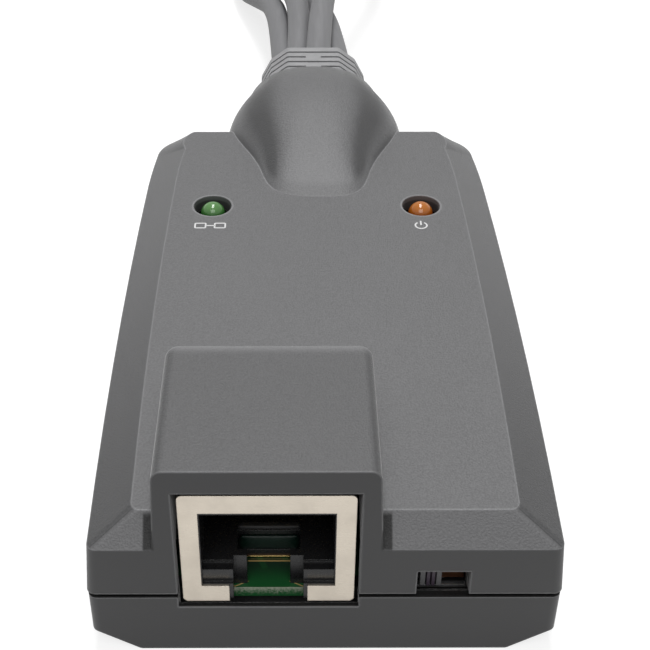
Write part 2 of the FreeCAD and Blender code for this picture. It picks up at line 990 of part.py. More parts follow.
# the bends of each lead on its way to the hank: across, along from the strain relief, and up;
# and then the side and the layer at which it meets the hank
LEAD_BENDS = {
    "usb": (
        (-4.05, 6.9, 10.65),
        (-4.5, 16.9, 10.8),
        (-5.1, 26.9, 10.7),
        (-6.2, 36.4, 9.5),
        (-8.8, 46.4, 6.4),
        (-11.3, 55.4, 3.7),
        (-12.5, 62.4, 2.75),
    ),
    "audio_mic": (
        (-2.0, 7.9, 13.95),
        (-1.75, 17.9, 14.0),
        (-2.1, 27.9, 13.8),
        (-3.9, 37.9, 13.1),
        (-7.4, 47.9, 12.2),
        (-11.4, 58.4, 10.75),
    ),
    "video": (
        (1.0, 7.9, 16.6),
        (1.5, 16.9, 16.7),
        (2.4, 26.9, 16.6),
        (4.5, 37.9, 16.0),
        (8.6, 48.9, 14.9),
        (11.9, 59.4, 14.0),
    ),
    "audio_out": (
        (3.85, 6.9, 13.05),
        (3.3, 14.9, 12.6),
        (2.6, 23.4, 12.0),
        (1.1, 31.9, 11.2),
        (-2.0, 40.9, 10.0),
        (-6.6, 50.4, 8.5),
        (-11.4, 60.4, 6.75),
    ),
}
LEAD_LAYERS = {"usb": 0, "audio_out": 1, "audio_mic": 2, "video": 3}
LEAD_SIDES = {"usb": -1, "audio_out": -1, "audio_mic": -1, "video": 1}


def lead_route(name):
    """A lead's way from the strain relief to the hank."""
    exit_x, exit_z = LEAD_EXITS[name]
    bends = [(x, boot_end + along, z) for x, along, z in LEAD_BENDS[name]]
    meets = (LEAD_SIDES[name] * entry_half, hank_start, layer(LEAD_LAYERS[name]))
    return [(exit_x, boot_end, exit_z), *bends, meets]


def tail_route(name, x1, z1):
    """A lead from the hank's far end to its plug: nearly level at its ends, sloping between."""
    x0, z0 = -LEAD_SIDES[name] * entry_half, layer(LEAD_LAYERS[name])
    steps = ((0.0, 0.0, 0.0), (0.32, 0.4, 0.2), (0.68, 0.6, 0.8), (1.0, 1.0, 1.0))
    return [(x0 + (x1 - x0) * a, hank_end + tail_run * t, z0 + (z1 - z0) * b) for t, a, b in steps]


ROUTES = {f"{name}_lead": lead_route(name) for name in LEAD_EXITS}
TAIL_ROUTES = {
    "usb_tail": tail_route("usb", usb_x, usb_z),
    "audio_mic_tail": tail_route("audio_mic", usb_x - audio_spread, audio_z),
    "video_tail": tail_route("video", video_x, video_z),
    "audio_out_tail": tail_route("audio_out", usb_x + audio_spread, audio_z),
}


def lead_tubes():
    """Every lead's tubes by node name, with their lengths and the radii of their bends printed."""
    tubes = {}
    for name, points in {**ROUTES, **TAIL_ROUTES}.items():
        solid, length, radii = tube(points, lead / 2)
        expected = math.pi * lead**2 / 4 * length
        print(
            name,
            f"length {length:.1f} mm, volume {solid.Volume:.0f} of {expected:.0f} mm3, radii",
            ", ".join(f"{r:.0f}" for r in radii),
        )
        tubes[name] = solid
    return tubes


hank_top = layer(max(LEAD_LAYERS.values())) + lead / 2


def hank_plan(z, inset=0.0, mirror=1):
    """The folded leads in plan: straight where a lead comes in or goes out, round at the loops."""
    middle = (hank_start + hank_end) / 2
    strap_start, strap_end = middle - tie_width / 2, middle + tie_width / 2
    near, far = strap_start - fold_neck, strap_end + fold_neck
    low, half, waist = hank_start + inset, hank_half - inset, hank_half_waist - inset
    turn, quarter, straight = fold_turn, math.pi / 2, math.pi

    def curve(x, y, radius, start, sweep):
        """An arc about a centre, from a bearing and through a sweep, in radians."""
        bearings = (start, start + sweep / 2, start + sweep)
        return [(x + radius * math.cos(b), y + radius * math.sin(b)) for b in bearings]

    # from one corner past the near loop and through the tie to the opposite corner
    half_way = [
        [(-half, low), (fold_x, low)],
        curve(fold_x, near, fold_radius + lead / 2 - inset, -quarter, quarter + turn),
        curve(
            fold_step + open_radius, strap_start, open_radius - lead / 2 + inset, straight + turn, -turn
        ),
        [(waist, strap_start), (waist, strap_end)],
        curve(fold_step + fold_radius, strap_end, fold_radius - lead / 2 + inset, straight, -turn),
        curve(-fold_x, far, open_radius + lead / 2 - inset, -turn, turn),
        [(half, far), (half, hank_end - inset)],
    ]
    # the rest is the same again, turned half round about the tie
    whole = half_way + [[(-x, 2 * middle - y) for x, y in points] for points in half_way]
    curves = []
    for points in whole:
        level = [FreeCAD.Vector(mirror * x, y, z) for x, y in points]
        curves.append(Part.Arc(*level) if len(level) == 3 else Part.LineSegment(*level))
    return wire_of(curves)


def cable_hank():
    """The outer shape of the folded leads: three layers one way round, the top one mirrored."""
    soft = lead / 3
    crossing = hank_top - layer_pitch + (layer_pitch - lead) / 2
    lower = lofted(
        [hank_plan(tie_thick, soft), hank_plan(tie_thick + soft), hank_plan(crossing)], ruled=True
    )
    upper = lofted(
        [
            hank_plan(crossing, mirror=-1),
            hank_plan(hank_top - soft, mirror=-1),
            hank_plan(hank_top, soft, mirror=-1),
        ],
        ruled=True,
    )
    return fused([lower, upper])


def cable_tie():
    """The strap round the hank's waist."""
    middle = (hank_start + hank_end) / 2
    y0, y1 = middle - tie_width / 2, middle + tie_width / 2
    w = hank_half_waist
    strap = block(-w - tie_thick, w + tie_thick, y0, y1, 0, hank_top + tie_thick)
    long_edges = [e for e in strap.Edges if e.BoundBox.YLength > tie_width - 0.1]
    strap = strap.makeFillet(0.7, long_edges)
    return strap.cut(block(-w, w, y0 - 1, y1 + 1, tie_thick, hank_top))


# ================================================================ video plug
video_front = plug_back + video_length
flange_front = video_front + flange_sheet


def video_hood():
    """The moulded body: a narrow neck that widens to the flange, with recessed grips."""
    w, n = video_half, video_neck
    y = plug_back
    ring = [
        (-n, y),
        (n, y),
        (n, y + 8),
        (w, y + 15),
        (w, video_front),
        (-w, video_front),
        (-w, y + 15),
        (-n, y + 8),
    ]
    points = [FreeCAD.Vector(video_x + px, py, 0) for px, py in (*ring, ring[0])]
    body = Part.Face(Part.makePolygon(points)).extrude(FreeCAD.Vector(0, 0, video_thick))
    body = body.makeFillet(1.5, [e for e in body.Edges if e.BoundBox.ZLength > 1])
    body = body.makeChamfer(0.8, [e for e in body.Edges if e.BoundBox.ZLength < 0.01
                                  and e.BoundBox.YMin < video_front - 1])
    for side in (-1, 1):
        x = video_x + side * thumb_x
        body = body.cut(rod(x, plug_back, video_z, thumb_radius + 0.3, 18 + 1, (0, 1, 0)))
        body = body.cut(rod(x, plug_back, video_z, 1.75, video_length + 1, (0, 1, 0)))
        outer = x + side * (w - thumb_x) / 2
        body = body.cut(
            block(
                min(outer, outer + side * 9),
                max(outer, outer + side * 9),
                plug_back,
                plug_back + 19,
                -1,
                video_thick + 1,
            )
        )
    return body


def dsub_ring(y, grow):
    """The plug's D-shaped section: wide above, narrow below, with rounded corners."""
    slant = math.tan(math.radians(dsub_draft)) * dsub_rise
    top, bottom, rise = dsub_half + grow, dsub_half - 2 * slant + grow, dsub_rise + grow
    corners = ((-bottom, -rise), (bottom, -rise), (top, rise), (-top, rise))
    points = [FreeCAD.Vector(video_x + x, y, video_z + z) for x, z in (*corners, corners[0])]
    return Part.Face(Part.makePolygon(points))


def dsub_prism(y0, y1, grow, corner):
    solid = dsub_ring(y0, grow).extrude(FreeCAD.Vector(0, y1 - y0, 0))
    return solid.makeFillet(corner, [e for e in solid.Edges if e.BoundBox.YLength > (y1 - y0) * 0.9])


def video_shell():
    """The plated flange and the D-shaped shell in front of it."""
    flange = block(
        video_x - flange_half,
        video_x + flange_half,
        video_front,
        flange_front,
        video_z - flange_rise,
        video_z + flange_rise,
    )
    flange = flange.makeFillet(1.0, [e for e in flange.Edges if e.BoundBox.YLength > 0.1])
    shell = dsub_prism(video_front, flange_front + dsub_length, 0.0, 2.2)
    room = dsub_prism(video_front - 1, flange_front + dsub_length + 1, -dsub_sheet, 1.8)
    solid = flange.fuse(shell).cut(room)
    for side in (-1, 1):
        solid = solid.cut(rod(video_x + side * thumb_x, video_front - 1, video_z, 1.75, 3, (0, 1, 0)))
    return solid


def video_insert():
    """The insulator that carries the pins."""
    return dsub_prism(video_front, video_front + 1.6, -dsub_sheet, 1.8)


def video_pins():
    """Fifteen pins in three rows; the middle row is shifted by half a pitch."""
    pins = []
    for row in (-1, 0, 1):
        shift = pin_pitch / 4 * (1 if row == 0 else -1)
        for k in range(-2, 3):
            pins.append(
                rod(
                    video_x + k * pin_pitch + shift,
                    video_front + 1.6,
                    video_z + row * pin_row,
                    0.38,
                    4.0,
                    (0, 1, 0),
                )
            )
    return group(pins)


def video_thumbscrews():
    """Two fluted knobs at the back of the hood, each with its screw through the flange."""
    screws = []
    for side in (-1, 1):
        x = video_x + side * thumb_x
        knob = rod(x, plug_back + 7.5, video_z, thumb_radius, 11.0, (0, 1, 0))
        shank = rod(x, plug_back + 18.5, video_z, 1.4, video_length - 18.5 + 5.5, (0, 1, 0))
        screws.append(fused([knob, shank]))
    return group(screws)


# ================================================================ usb plug
usb_front = plug_back + usb_length


def usb_overmould():
    """The moulded grip of the usb plug, narrower at its neck."""
    grip = block(usb_x - usb_half, usb_x + usb_half, plug_back + 5, usb_front, 0, usb_thick)
    grip = grip.makeFillet(
        1.6, [e for e in grip.Edges if e.BoundBox.ZLength > 1 and e.BoundBox.YMin < plug_back + 6]
    )
    grip = grip.makeChamfer(
        0.6, [e for e in grip.Edges if e.BoundBox.ZLength < 0.01 and e.BoundBox.YMin < usb_front - 1]
    )
    return fused([grip, block(usb_x - 3.6, usb_x + 3.6, plug_back, plug_back + 6, 0.9, usb_thick - 0.9)])


def usb_box(grow, y0, y1):
    half, rise = usb_shell_width / 2 + grow, usb_shell_height / 2 + grow
    return block(usb_x - half, usb_x + half, y0, y1, usb_z - rise, usb_z + rise)


def usb_shell():
    """The plated shell with its two retention windows on each broad face."""
    shell = usb_box(0, usb_front, usb_front + usb_shell_length)
    shell = shell.makeFillet(0.4, [e for e in shell.Edges if e.BoundBox.YLength > 5])
    shell = shell.cut(usb_box(-usb_sheet, usb_front - 1, usb_front + usb_shell_length + 1))
    y = usb_front + 5.0
    for x in (usb_x - 2.75, usb_x + 2.75):
        shell = shell.cut(block(x - 1.15, x + 1.15, y, y + 2.3, -1, usb_thick + 1))
    return shell


def usb_tongue():
    """The white tongue on the lower side of the shell."""
    half = usb_shell_width / 2 - usb_sheet
    low = usb_z - usb_shell_height / 2 + usb_sheet
    return block(usb_x - half, usb_x + half, usb_front, usb_front + 13.6, low, low + 1.95)


def usb_contacts():
    """Four gilt contacts on the tongue."""
    low = usb_z - usb_shell_height / 2 + usb_sheet + 1.95
    return group(
        block(x - 0.5, x + 0.5, usb_front + 4.6, usb_front + 12.8, low, low + 0.1)
        for x in (usb_x + d for d in (-3.5, -1.0, 1.0, 3.5))
    )


# ================================================================ audio plugs
def audio_barrel(side):
    """The moulded grip of an audio plug, stepped down towards its lead."""
    x = usb_x + side * audio_spread
    neck_part = rod(x, plug_back, audio_z, 2.9, 6.0, (0, 1, 0))
    grip = rod(x, plug_back + 5.0, audio_z, audio_radius, audio_length - 5.0, (0, 1, 0))
    rims = [e for e in grip.Edges if e.BoundBox.YLength < 0.01]
    return fused([neck_part, grip.makeFillet(0.8, rims)])


def audio_tip(side):
    """The plated pin: sleeve, two insulating grooves and a rounded tip."""
    x = usb_x + side * audio_spread
    y = plug_back + audio_length
    long_part = audio_pin_length - audio_pin
    ball = Part.makeSphere(audio_pin, FreeCAD.Vector(x, y + long_part, audio_z))
    pin = fused([rod(x, y, audio_z, audio_pin, long_part, (0, 1, 0)), ball])
    for at in (5.8, 8.6):
        ring = rod(x, y + at, audio_z, audio_pin + 1, 0.5, (0, 1, 0))
        pin = pin.cut(ring.cut(rod(x, y + at - 1, audio_z, audio_pin - 0.25, 3, (0, 1, 0))))
    return pin


# ================================================================ the stored parts
NODES = {
    "upper_shell": upper_shell(),
    "lower_shell": lower_shell(),
    "main_board": main_board(),
    "jack_shield": jack_shield(),
    "jack_housing": jack_housing(),
    "jack_contacts": jack_contacts(),
    "switch_frame": switch_frame(),
    "switch_base": switch_base(),
    "switch_contact": switch_contact(),
    "switch_knob": switch_knob(),
    "link_lamp": lamp(-1),
    "power_lamp": lamp(1),
    "lamp_leads": lamp_wires(),
    "lamp_spacers": lamp_spacers(),
    "controller_chip": controller_chip(),
    "video_chip": video_chip(),
    "network_magnetics": network_magnetics(),
    "crystal": crystal(),
    "capacitors": capacitors(),
    "harness_header": harness_header(),
    "harness_wires": harness_wires(),
    "cable_tails": cable_tails(),
    "strain_relief": strain_relief(),
    "case_screws": case_screws(),
    **lead_tubes(),
    "cable_hank": cable_hank(),
    "cable_tie": cable_tie(),
    "video_hood": video_hood(),
    "video_shell": video_shell(),
    "video_insert": video_insert(),
    "video_pins": video_pins(),
    "video_thumbscrews": video_thumbscrews(),
    "usb_overmould": usb_overmould(),
    "usb_shell": usb_shell(),
    "usb_tongue": usb_tongue(),
    "usb_contacts": usb_contacts(),
    "audio_mic_barrel": audio_barrel(-1),
    "audio_mic_pin": audio_tip(-1),
    "audio_out_barrel": audio_barrel(1),
    "audio_out_pin": audio_tip(1),
}

origin = FreeCAD.Vector(0, -nozzle_rim / 2, 0)
for name, shape in NODES.items():
    shape.translate(origin)
    box = shape.BoundBox
    if not shape.isValid():
        print(name, "is not valid")
    print(
        f"{name}: {len(shape.Solids)} solid(s), {shape.Volume:.1f} mm3, x {box.XMin:.2f} {box.XMax:.2f},"
        f" y {box.YMin:.2f} {box.YMax:.2f}, z {box.ZMin:.2f} {box.ZMax:.2f}"
    )
    shape.exportStep(f"parts/{name}.step")
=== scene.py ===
"""Dresses the server interface module: its finishes, printed marks, leads, tie and plug details."""

import json
import logging
import math
from collections.abc import Sequence
from dataclasses import dataclass, field
from enum import Enum
from typing import Any

import bpy
import numpy as np
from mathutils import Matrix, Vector


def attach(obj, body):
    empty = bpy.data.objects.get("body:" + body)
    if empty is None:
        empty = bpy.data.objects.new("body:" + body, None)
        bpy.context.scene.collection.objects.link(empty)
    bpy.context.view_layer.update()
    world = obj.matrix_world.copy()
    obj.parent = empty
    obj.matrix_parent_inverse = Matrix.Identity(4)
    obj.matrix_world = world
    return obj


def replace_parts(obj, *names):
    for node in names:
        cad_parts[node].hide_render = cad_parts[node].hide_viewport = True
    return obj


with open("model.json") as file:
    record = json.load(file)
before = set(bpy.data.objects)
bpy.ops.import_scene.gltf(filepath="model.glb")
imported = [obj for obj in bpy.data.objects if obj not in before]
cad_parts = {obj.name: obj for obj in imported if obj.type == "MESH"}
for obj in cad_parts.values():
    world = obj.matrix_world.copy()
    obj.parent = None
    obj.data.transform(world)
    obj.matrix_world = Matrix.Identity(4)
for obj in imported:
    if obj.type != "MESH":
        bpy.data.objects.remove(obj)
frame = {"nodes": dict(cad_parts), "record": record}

log = logging.getLogger("kvm_dongle")

Colour = tuple[float, float, float]
Point = tuple[float, float, float]
Span = tuple[float, float]

MM = 1e-3  # metres in a millimetre
FRONT_TO_ORIGIN = 41.25  # millimetres from the module's front face back to the model's origin
BOOT_END = 91.1  # millimetres from the front face back to the strain relief's end
CREASE = 32.0  # degrees over which a piece's edge stays sharp
WHITE = (1.0, 1.0, 1.0)


def placed(points: Any) -> np.ndarray:
    """Turn millimetres from the module's front face into metres from the model's origin."""
    return (np.asarray(points, dtype=float) - (0.0, FRONT_TO_ORIGIN, 0.0)) * MM


# ---------------------------------------------------------------- shader graph
class Signal:
    """A socket that ordinary operators work on, each of them adding its Math node."""

    def __init__(self, graph: "Graph", socket: bpy.types.NodeSocket) -> None:
        """Wrap a socket of a graph."""
        self.graph = graph
        self.socket = socket

    def math(self, operation: str, *others: Any, swapped: bool = False) -> "Signal":
        """Add a Math node for an operation, with this signal first unless swapped."""
        operands = [*others, self] if swapped else [self, *others]
        return self.graph.signal("ShaderNodeMath", {"operation": operation}, dict(enumerate(operands)))

    def __add__(self, other: Any) -> "Signal":
        """Sum."""
        return self.math("ADD", other)

    __radd__ = __add__

    def __mul__(self, other: Any) -> "Signal":
        """Product."""
        return self.math("MULTIPLY", other)

    __rmul__ = __mul__

    def __sub__(self, other: Any) -> "Signal":
        """Difference."""
        return self.math("SUBTRACT", other)

    def __rsub__(self, other: Any) -> "Signal":
        """Difference from a number."""
        return self.math("SUBTRACT", other, swapped=True)

    def __pow__(self, other: Any) -> "Signal":
        """Power."""
        return self.math("POWER", other)

    def __abs__(self) -> "Signal":
        """Size without its sign."""
        return self.math("ABSOLUTE")

    def wave(self) -> "Signal":
        """Sine of the signal."""
        return self.math("SINE")

    def at_least(self, other: Any) -> "Signal":
        """The larger of the signal and another."""
        return self.math("MAXIMUM", other)

    def rise(self, low: float, high: float) -> "Signal":
        """Go smoothly from 0 to 1.

        Args:
            low: Where the rise starts.
            high: Where it ends; below low, the signal falls instead.

        Returns:
            A signal between 0 and 1.
        """
        settings = {"interpolation_type": "SMOOTHSTEP"}
        if low < high:
            return self.graph.signal("ShaderNodeMapRange", settings, {0: self, 1: low, 2: high})
        return 1 - self.graph.signal("ShaderNodeMapRange", settings, {0: self, 1: high, 2: low})

    def band(self, low: float, high: float, soft: float) -> "Signal":
        """Be 1 between two values and 0 outside them, with soft ends."""
        return self.rise(low - soft, low + soft) * self.rise(high + soft, high - soft)


class Graph:
    """The node tree of a material or a world, built from signals."""

    def __init__(self, owner: bpy.types.Material | bpy.types.World, ending: str) -> None:
        """Start an empty tree.

        Args:
            owner: The material or world that owns it.
            ending: The type of its output node.
        """
        owner.use_nodes = True
        self.owner = owner
        self.tree = owner.node_tree
        self.tree.nodes.clear()
        self.output = self.tree.nodes.new(ending)

    @classmethod
    def for_material(cls, name: str) -> "Graph":
        """Start the tree of a new material."""
        return cls(bpy.data.materials.new(name), "ShaderNodeOutputMaterial")

    @classmethod
    def for_world(cls, name: str) -> "Graph":
        """Start the tree of a new world."""
        return cls(bpy.data.worlds.new(name), "ShaderNodeOutputWorld")

    def node(
        self, kind: str, settings: dict[str, Any] | None = None, inputs: dict[Any, Any] | None = None
    ) -> bpy.types.Node:
        """Add a node.

        Args:
            kind: The node's type.
            settings: Its properties, set first.
            inputs: Values or signals by the names or numbers of its sockets.

        Returns:
            The node.
        """
        made = self.tree.nodes.new(kind)
        for key, value in (settings or {}).items():
            setattr(made, key, value)
        for key, value in (inputs or {}).items():
            if isinstance(value, Signal):
                self.tree.links.new(value.socket, made.inputs[key])
            elif isinstance(value, tuple) and len(value) == 3 and made.inputs[key].type == "RGBA":
                made.inputs[key].default_value = (*value, 1.0)
            else:
                made.inputs[key].default_value = value
        return made

    def signal(
        self,
        kind: str,
        settings: dict[str, Any] | None = None,
        inputs: dict[Any, Any] | None = None,
        out: int | str = 0,
    ) -> Signal:
        """Add a node as node() does, and take one of its outputs by name or number."""
        return Signal(self, self.node(kind, settings, inputs).outputs[out])

    def parts(self, vector: Signal) -> tuple[Signal, Signal, Signal]:
        """A vector's three coordinates."""
        split = self.node("ShaderNodeSeparateXYZ", inputs={0: vector})
        return tuple(Signal(self, output) for output in split.outputs)

    def place(self) -> Signal:
        """The point of the surface in the piece's own coordinates."""
        return self.signal("ShaderNodeTexCoord", out="Object")

    def axes(self) -> tuple[Signal, Signal, Signal]:
        """The point's three coordinates in millimetres."""
        return tuple(part * (1 / MM) for part in self.parts(self.place()))

    def noise(self, size: float, detail: float = 2.0, roughness: float = 0.5) -> Signal:
        """Soft noise round 0.5, with features of a size in millimetres."""
        inputs = {"Vector": self.place(), "Scale": 1.0 / (size * MM), "Detail": detail}
        return self.signal("ShaderNodeTexNoise", None, {**inputs, "Roughness": roughness})

    def stretched(self, size: Point, detail: float = 2.0) -> Signal:
        """Noise with its own feature size along each axis.

        Args:
            size: The three sizes in millimetres.
            detail: Octaves.

        Returns:
            A value round 0.5.
        """
        scale = tuple(1.0 / (s * MM) for s in size)
        vector = self.signal("ShaderNodeMapping", None, {"Vector": self.place(), "Scale": scale})
        return self.signal("ShaderNodeTexNoise", None, {"Vector": vector, "Scale": 1.0, "Detail": detail})

    def blend(self, factor: Any, first: Any, second: Any) -> Signal:
        """Mix two colours by a factor."""
        inputs = {0: factor, 6: first, 7: second}
        return self.signal("ShaderNodeMix", {"data_type": "RGBA"}, inputs, out=2)

    def rounding(self, radius: float) -> Signal:
        """The normal as if every edge were rounded, for a radius in millimetres."""
        return self.signal("ShaderNodeBevel", {"samples": 4}, {"Radius": radius * MM})

    def plain_normal(self) -> Signal:
        """The surface's normal without any rounding or relief."""
        return self.signal("ShaderNodeNewGeometry", out="Normal")

    def edge_highlight(self, radius: float) -> Signal:
        """How near the surface is to an edge, from the turn of its rounded normal; it sets where highlights
        are painted along edges.

        Args:
            radius: The rounding's radius in millimetres.

        Returns:
            1 on an edge and 0 away from it.
        """
        inputs = {0: self.rounding(radius), 1: self.plain_normal()}
        turn = self.signal("ShaderNodeVectorMath", {"operation": "DOT_PRODUCT"}, inputs, out=1)
        return (1 - turn).rise(0.004, 0.07)

    def relief(self, height: Signal, depth: float, normal: Signal | None = None) -> Signal:
        """Turn a height into a normal.

        Args:
            height: The height, from 0 to 1.
            depth: What a height of 1 stands for, in millimetres.
            normal: The normal to start from, or the surface's own.

        Returns:
            The normal.
        """
        inputs = {"Height": height, "Distance": depth * MM, "Strength": 1.0}
        if normal is not None:
            inputs["Normal"] = normal
        return self.signal("ShaderNodeBump", None, inputs)

    def close(self, look: Signal) -> Any:
        """Link a shader to the output, and give the material or world that owns the tree."""
        self.tree.links.new(look.socket, self.output.inputs[0])
        return self.owner

    def surface(self, inputs: dict[str, Any]) -> bpy.types.Material:
        """Close the graph with a shader made from values or signals by its sockets' names."""
        return self.close(self.signal("ShaderNodeBsdfPrincipled", None, inputs))


def shade(colour: Colour, factor: float) -> Colour:
    """A colour made lighter or darker by a factor."""
    return tuple(min(1.0, c * factor) for c in colour)


# ---------------------------------------------------------------- finishes
class Finish:
    """A surface finish: its class says what goes into the shader."""

    def inputs(self, g: Graph) -> dict[str, Any]:
        """The shader's values and signals, by the names of its sockets."""
        raise NotImplementedError

    def make(self, name: str) -> bpy.types.Material:
        """Build the finish's material."""
        g = Graph.for_material(name)
        return g.surface(self.inputs(g))


@dataclass(frozen=True)
class MouldedPlastic(Finish):
    """Spark-textured or polished moulded plastic with rounded edges."""

    colour: Colour
    roughness: float = 0.5
    grain: float = 0.32
    depth: float = 0.02
    mottle: float = 0.06
    edge: float = 0.2
    specular: float = 0.5
    cloud: float = 9.0

    def inputs(self, g: Graph) -> dict[str, Any]:
        """Mottle the colour and roughness, and raise a fine grain.

        Args:
            g: The material's graph.

        Returns:
            The shader's values and signals, by the names of its sockets.
        """
        fine = g.noise(self.grain, 3.0, 0.6)
        tone = fine * 0.7 + g.noise(self.cloud) * 0.3
        low, high = shade(self.colour, 1 - self.mottle), shade(self.colour, 1 + self.mottle)
        return {
            "Base Color": g.blend(tone.rise(0.3, 0.7), low, high),
            "Roughness": fine * 0.12 + (self.roughness - 0.06),
            "Normal": g.relief(fine, self.depth, g.rounding(self.edge)),
            "Specular IOR Level": self.specular,
        }


@dataclass(frozen=True)
class CasePoint:
    """A point of the case, in millimetres across, back from the front face and up.

    Aside is its distance from the socket's middle. Sideways is its normal's size across; forward
    and above rise from 0 to 1 as the surface faces those ways.
    """

    across: Signal
    back: Signal
    up: Signal
    aside: Signal
    sideways: Signal
    forward: Signal
    above: Signal


@dataclass(frozen=True)
class CasePlastic(Finish):
    """The case's grey plastic: pebbled above, with painted shade in front and in its gaps, and painted
    highlights along its edges.

    Places are in millimetres, from the front face or the floor. The socket's, hood's and flanks'
    half widths are from the socket's middle. Tones are shares of the colour, and dims and lights
    say how much of the shadow's and the glint's tone a place takes.
    """

    colour: Colour = (0.128, 0.128, 0.131)
    tones: Span = (0.8, 1.22)
    # painted shade: the share of the colour that faces not turned up are darkened to
    front_shade_tone: float = 0.42
    shadow_tone: float = 0.2
    glint_tone: float = 2.5
    # painted highlight: the share of the colour that edges are lightened to
    edge_highlight_tone: float = 2.7
    # painted shade: the share of the colour that the gaps and recesses are darkened to
    gap_shade_tone: float = 0.06
    side_dims: Span = (0.08, 0.48)
    hood_dim: float = 0.36
    shoulder_dim: float = 0.68
    mitre_dim: float = 0.8
    bevel_light: float = 0.19
    crown_light: float = 0.22
    lip_light: float = 0.8
    rim_light: float = 0.36
    bore_light: float = 0.3
    roughness: float = 0.46
    pebble: float = 0.2
    cloud: float = 12.0
    depth: float = 0.07
    edge: float = 0.28
    upward: Span = (0.25, 0.6)
    seam: Span = (7.16, 7.64)
    deck: float = 16.2
    bevel_foot: Span = (13.0, 13.3)
    bevel_head: Span = (16.1, 15.9)
    lit_length: float = 62.0
    socket_x: float = -5.15
    socket_half: float = 8.34
    socket_heights: Span = (3.0, 20.4)
    socket_back: float = 16.2
    flank: Span = (10.1, 11.1)
    flank_heights: Span = (13.4, 15.9)
    hood_half: float = 10.6
    hood_back: float = 17.8
    lip: float = 2.4
    dome: Span = (48.0, 50.0)
    crown: Span = (71.0, 58.0)
    case_half: float = 21.36
    mitre_slope: float = 3.95 / 2.45
    lamp: Span = (12.52, 53.3)
    lamp_ring: Span = (2.24, 2.52)
    switch_slot: Span = (8.38, 13.85)
    switch_heights: Span = (3.5, 10.55)

    def point(self, g: Graph) -> CasePoint:
        """Where a point lies and how it faces.

        Args:
            g: The material's graph.

        Returns:
            The point.
        """
        across, along, up = g.axes()
        right, rear, top = g.parts(g.plain_normal())
        return CasePoint(
            across=across,
            back=along + FRONT_TO_ORIGIN,
            up=up,
            aside=abs(across - self.socket_x),
            sideways=abs(right),
            forward=rear.rise(-0.2, -0.6),
            above=top.rise(*self.upward),
        )

    def on_hood(self, p: CasePoint) -> Signal:
        """Where the top of the hood is, up to its back edge."""
        raised = p.up.rise(self.deck, self.deck + 0.3) * p.aside.rise(self.hood_half, self.hood_half - 0.4)
        return raised * p.back.rise(self.hood_back + 0.5, self.hood_back) * p.above

    def on_dome(self, p: CasePoint) -> Signal:
        """Where the dome of the nozzle stands over the top."""
        return p.up.rise(self.deck + 0.1, self.deck + 0.8) * p.back.rise(*self.dome)

    def shadows(self, p: CasePoint) -> Signal:
        """Dim the tilted sides towards the front, the hood, the dome's shoulders and the mitres.

        Args:
            p: The point.

        Returns:
            How dim it is, from 0 to 1.
        """
        dome = self.on_dome(p)
        unlit = 1 - p.back.rise(0.0, self.lit_length)
        tilted = p.sideways.rise(0.12, 0.5) * p.above * (1 - dome)
        shoulder = dome * p.sideways.band(0.34, 0.7, 0.12)
        from_mitre = self.case_half - abs(p.across) - p.back * self.mitre_slope
        mitre = from_mitre.band(-0.3, -0.05, 0.08) * p.back.rise(6.0, 5.0)
        mitre = mitre * p.up.rise(*self.bevel_foot) * p.up.rise(*self.bevel_head)
        least, more = self.side_dims
        dim = (tilted * (unlit * more + least)).at_least(self.on_hood(p) * self.hood_dim)
        return dim.at_least(shoulder * self.shoulder_dim).at_least(mitre * self.mitre_dim)

    def glints(self, g: Graph, p: CasePoint) -> Signal:
        """Paint highlights: lighten the front bevels, the dome's crown, the hood's back edge, the lamps'
        rims and the walls of their holes.

        Args:
            g: The material's graph.
            p: The point.

        Returns:
            How light it is, from 0 to 1.
        """
        hood = self.on_hood(p)
        lip = p.back.rise(self.hood_back - self.lip, self.hood_back) ** 2
        crown = self.on_dome(p) * p.sideways.rise(0.32, 0.1) * p.back.rise(*self.crown)
        fore = p.forward * p.above * (1 - hood)
        lamp_x, lamp_y = self.lamp
        reach = ((abs(p.across) - lamp_x) ** 2 + (p.back - lamp_y) ** 2) ** 0.5
        rim = reach.band(*self.lamp_ring, 0.04) * p.up.rise(self.deck - 0.9, self.deck - 0.6)
        bore = reach.rise(self.lamp_ring[0], self.lamp_ring[0] - 0.1) * (g.noise(0.6) + 0.5)
        bore = bore * p.up.rise(self.deck - 3.0, self.deck - 1.0)
        light = (fore * self.bevel_light).at_least(crown * self.crown_light)
        light = light.at_least(hood * lip * self.lip_light)
        return light.at_least(rim * self.rim_light).at_least(bore * self.bore_light)

    def gap_shade(self, p: CasePoint) -> Signal:
        """Paint shade: blacken the seam, the mouths of the socket and switch, and the hood's front flanks,
        where shade falls.

        Args:
            p: The point.

        Returns:
            How black it is, from 0 to 1.
        """
        flank = p.aside.band(*self.flank, 0.12) * p.up.band(*self.flank_heights, 0.2)
        flank = flank * p.back.rise(2.5, 2.0)
        socket = p.aside.rise(self.socket_half + 0.01, self.socket_half - 0.01)
        socket = socket * p.back.rise(0.03, 0.2) * p.back.rise(self.socket_back, self.socket_back - 0.2)
        socket = socket * p.up.band(*self.socket_heights, 0.02)
        switch = p.across.band(*self.switch_slot, 0.02) * p.up.band(*self.switch_heights, 0.02)
        switch = switch * p.back.rise(0.2, 0.4) * p.back.rise(6.0, 5.0)
        seam = p.up.band(*self.seam, 0.006)
        return seam.at_least(socket * 0.96).at_least(flank).at_least(switch)

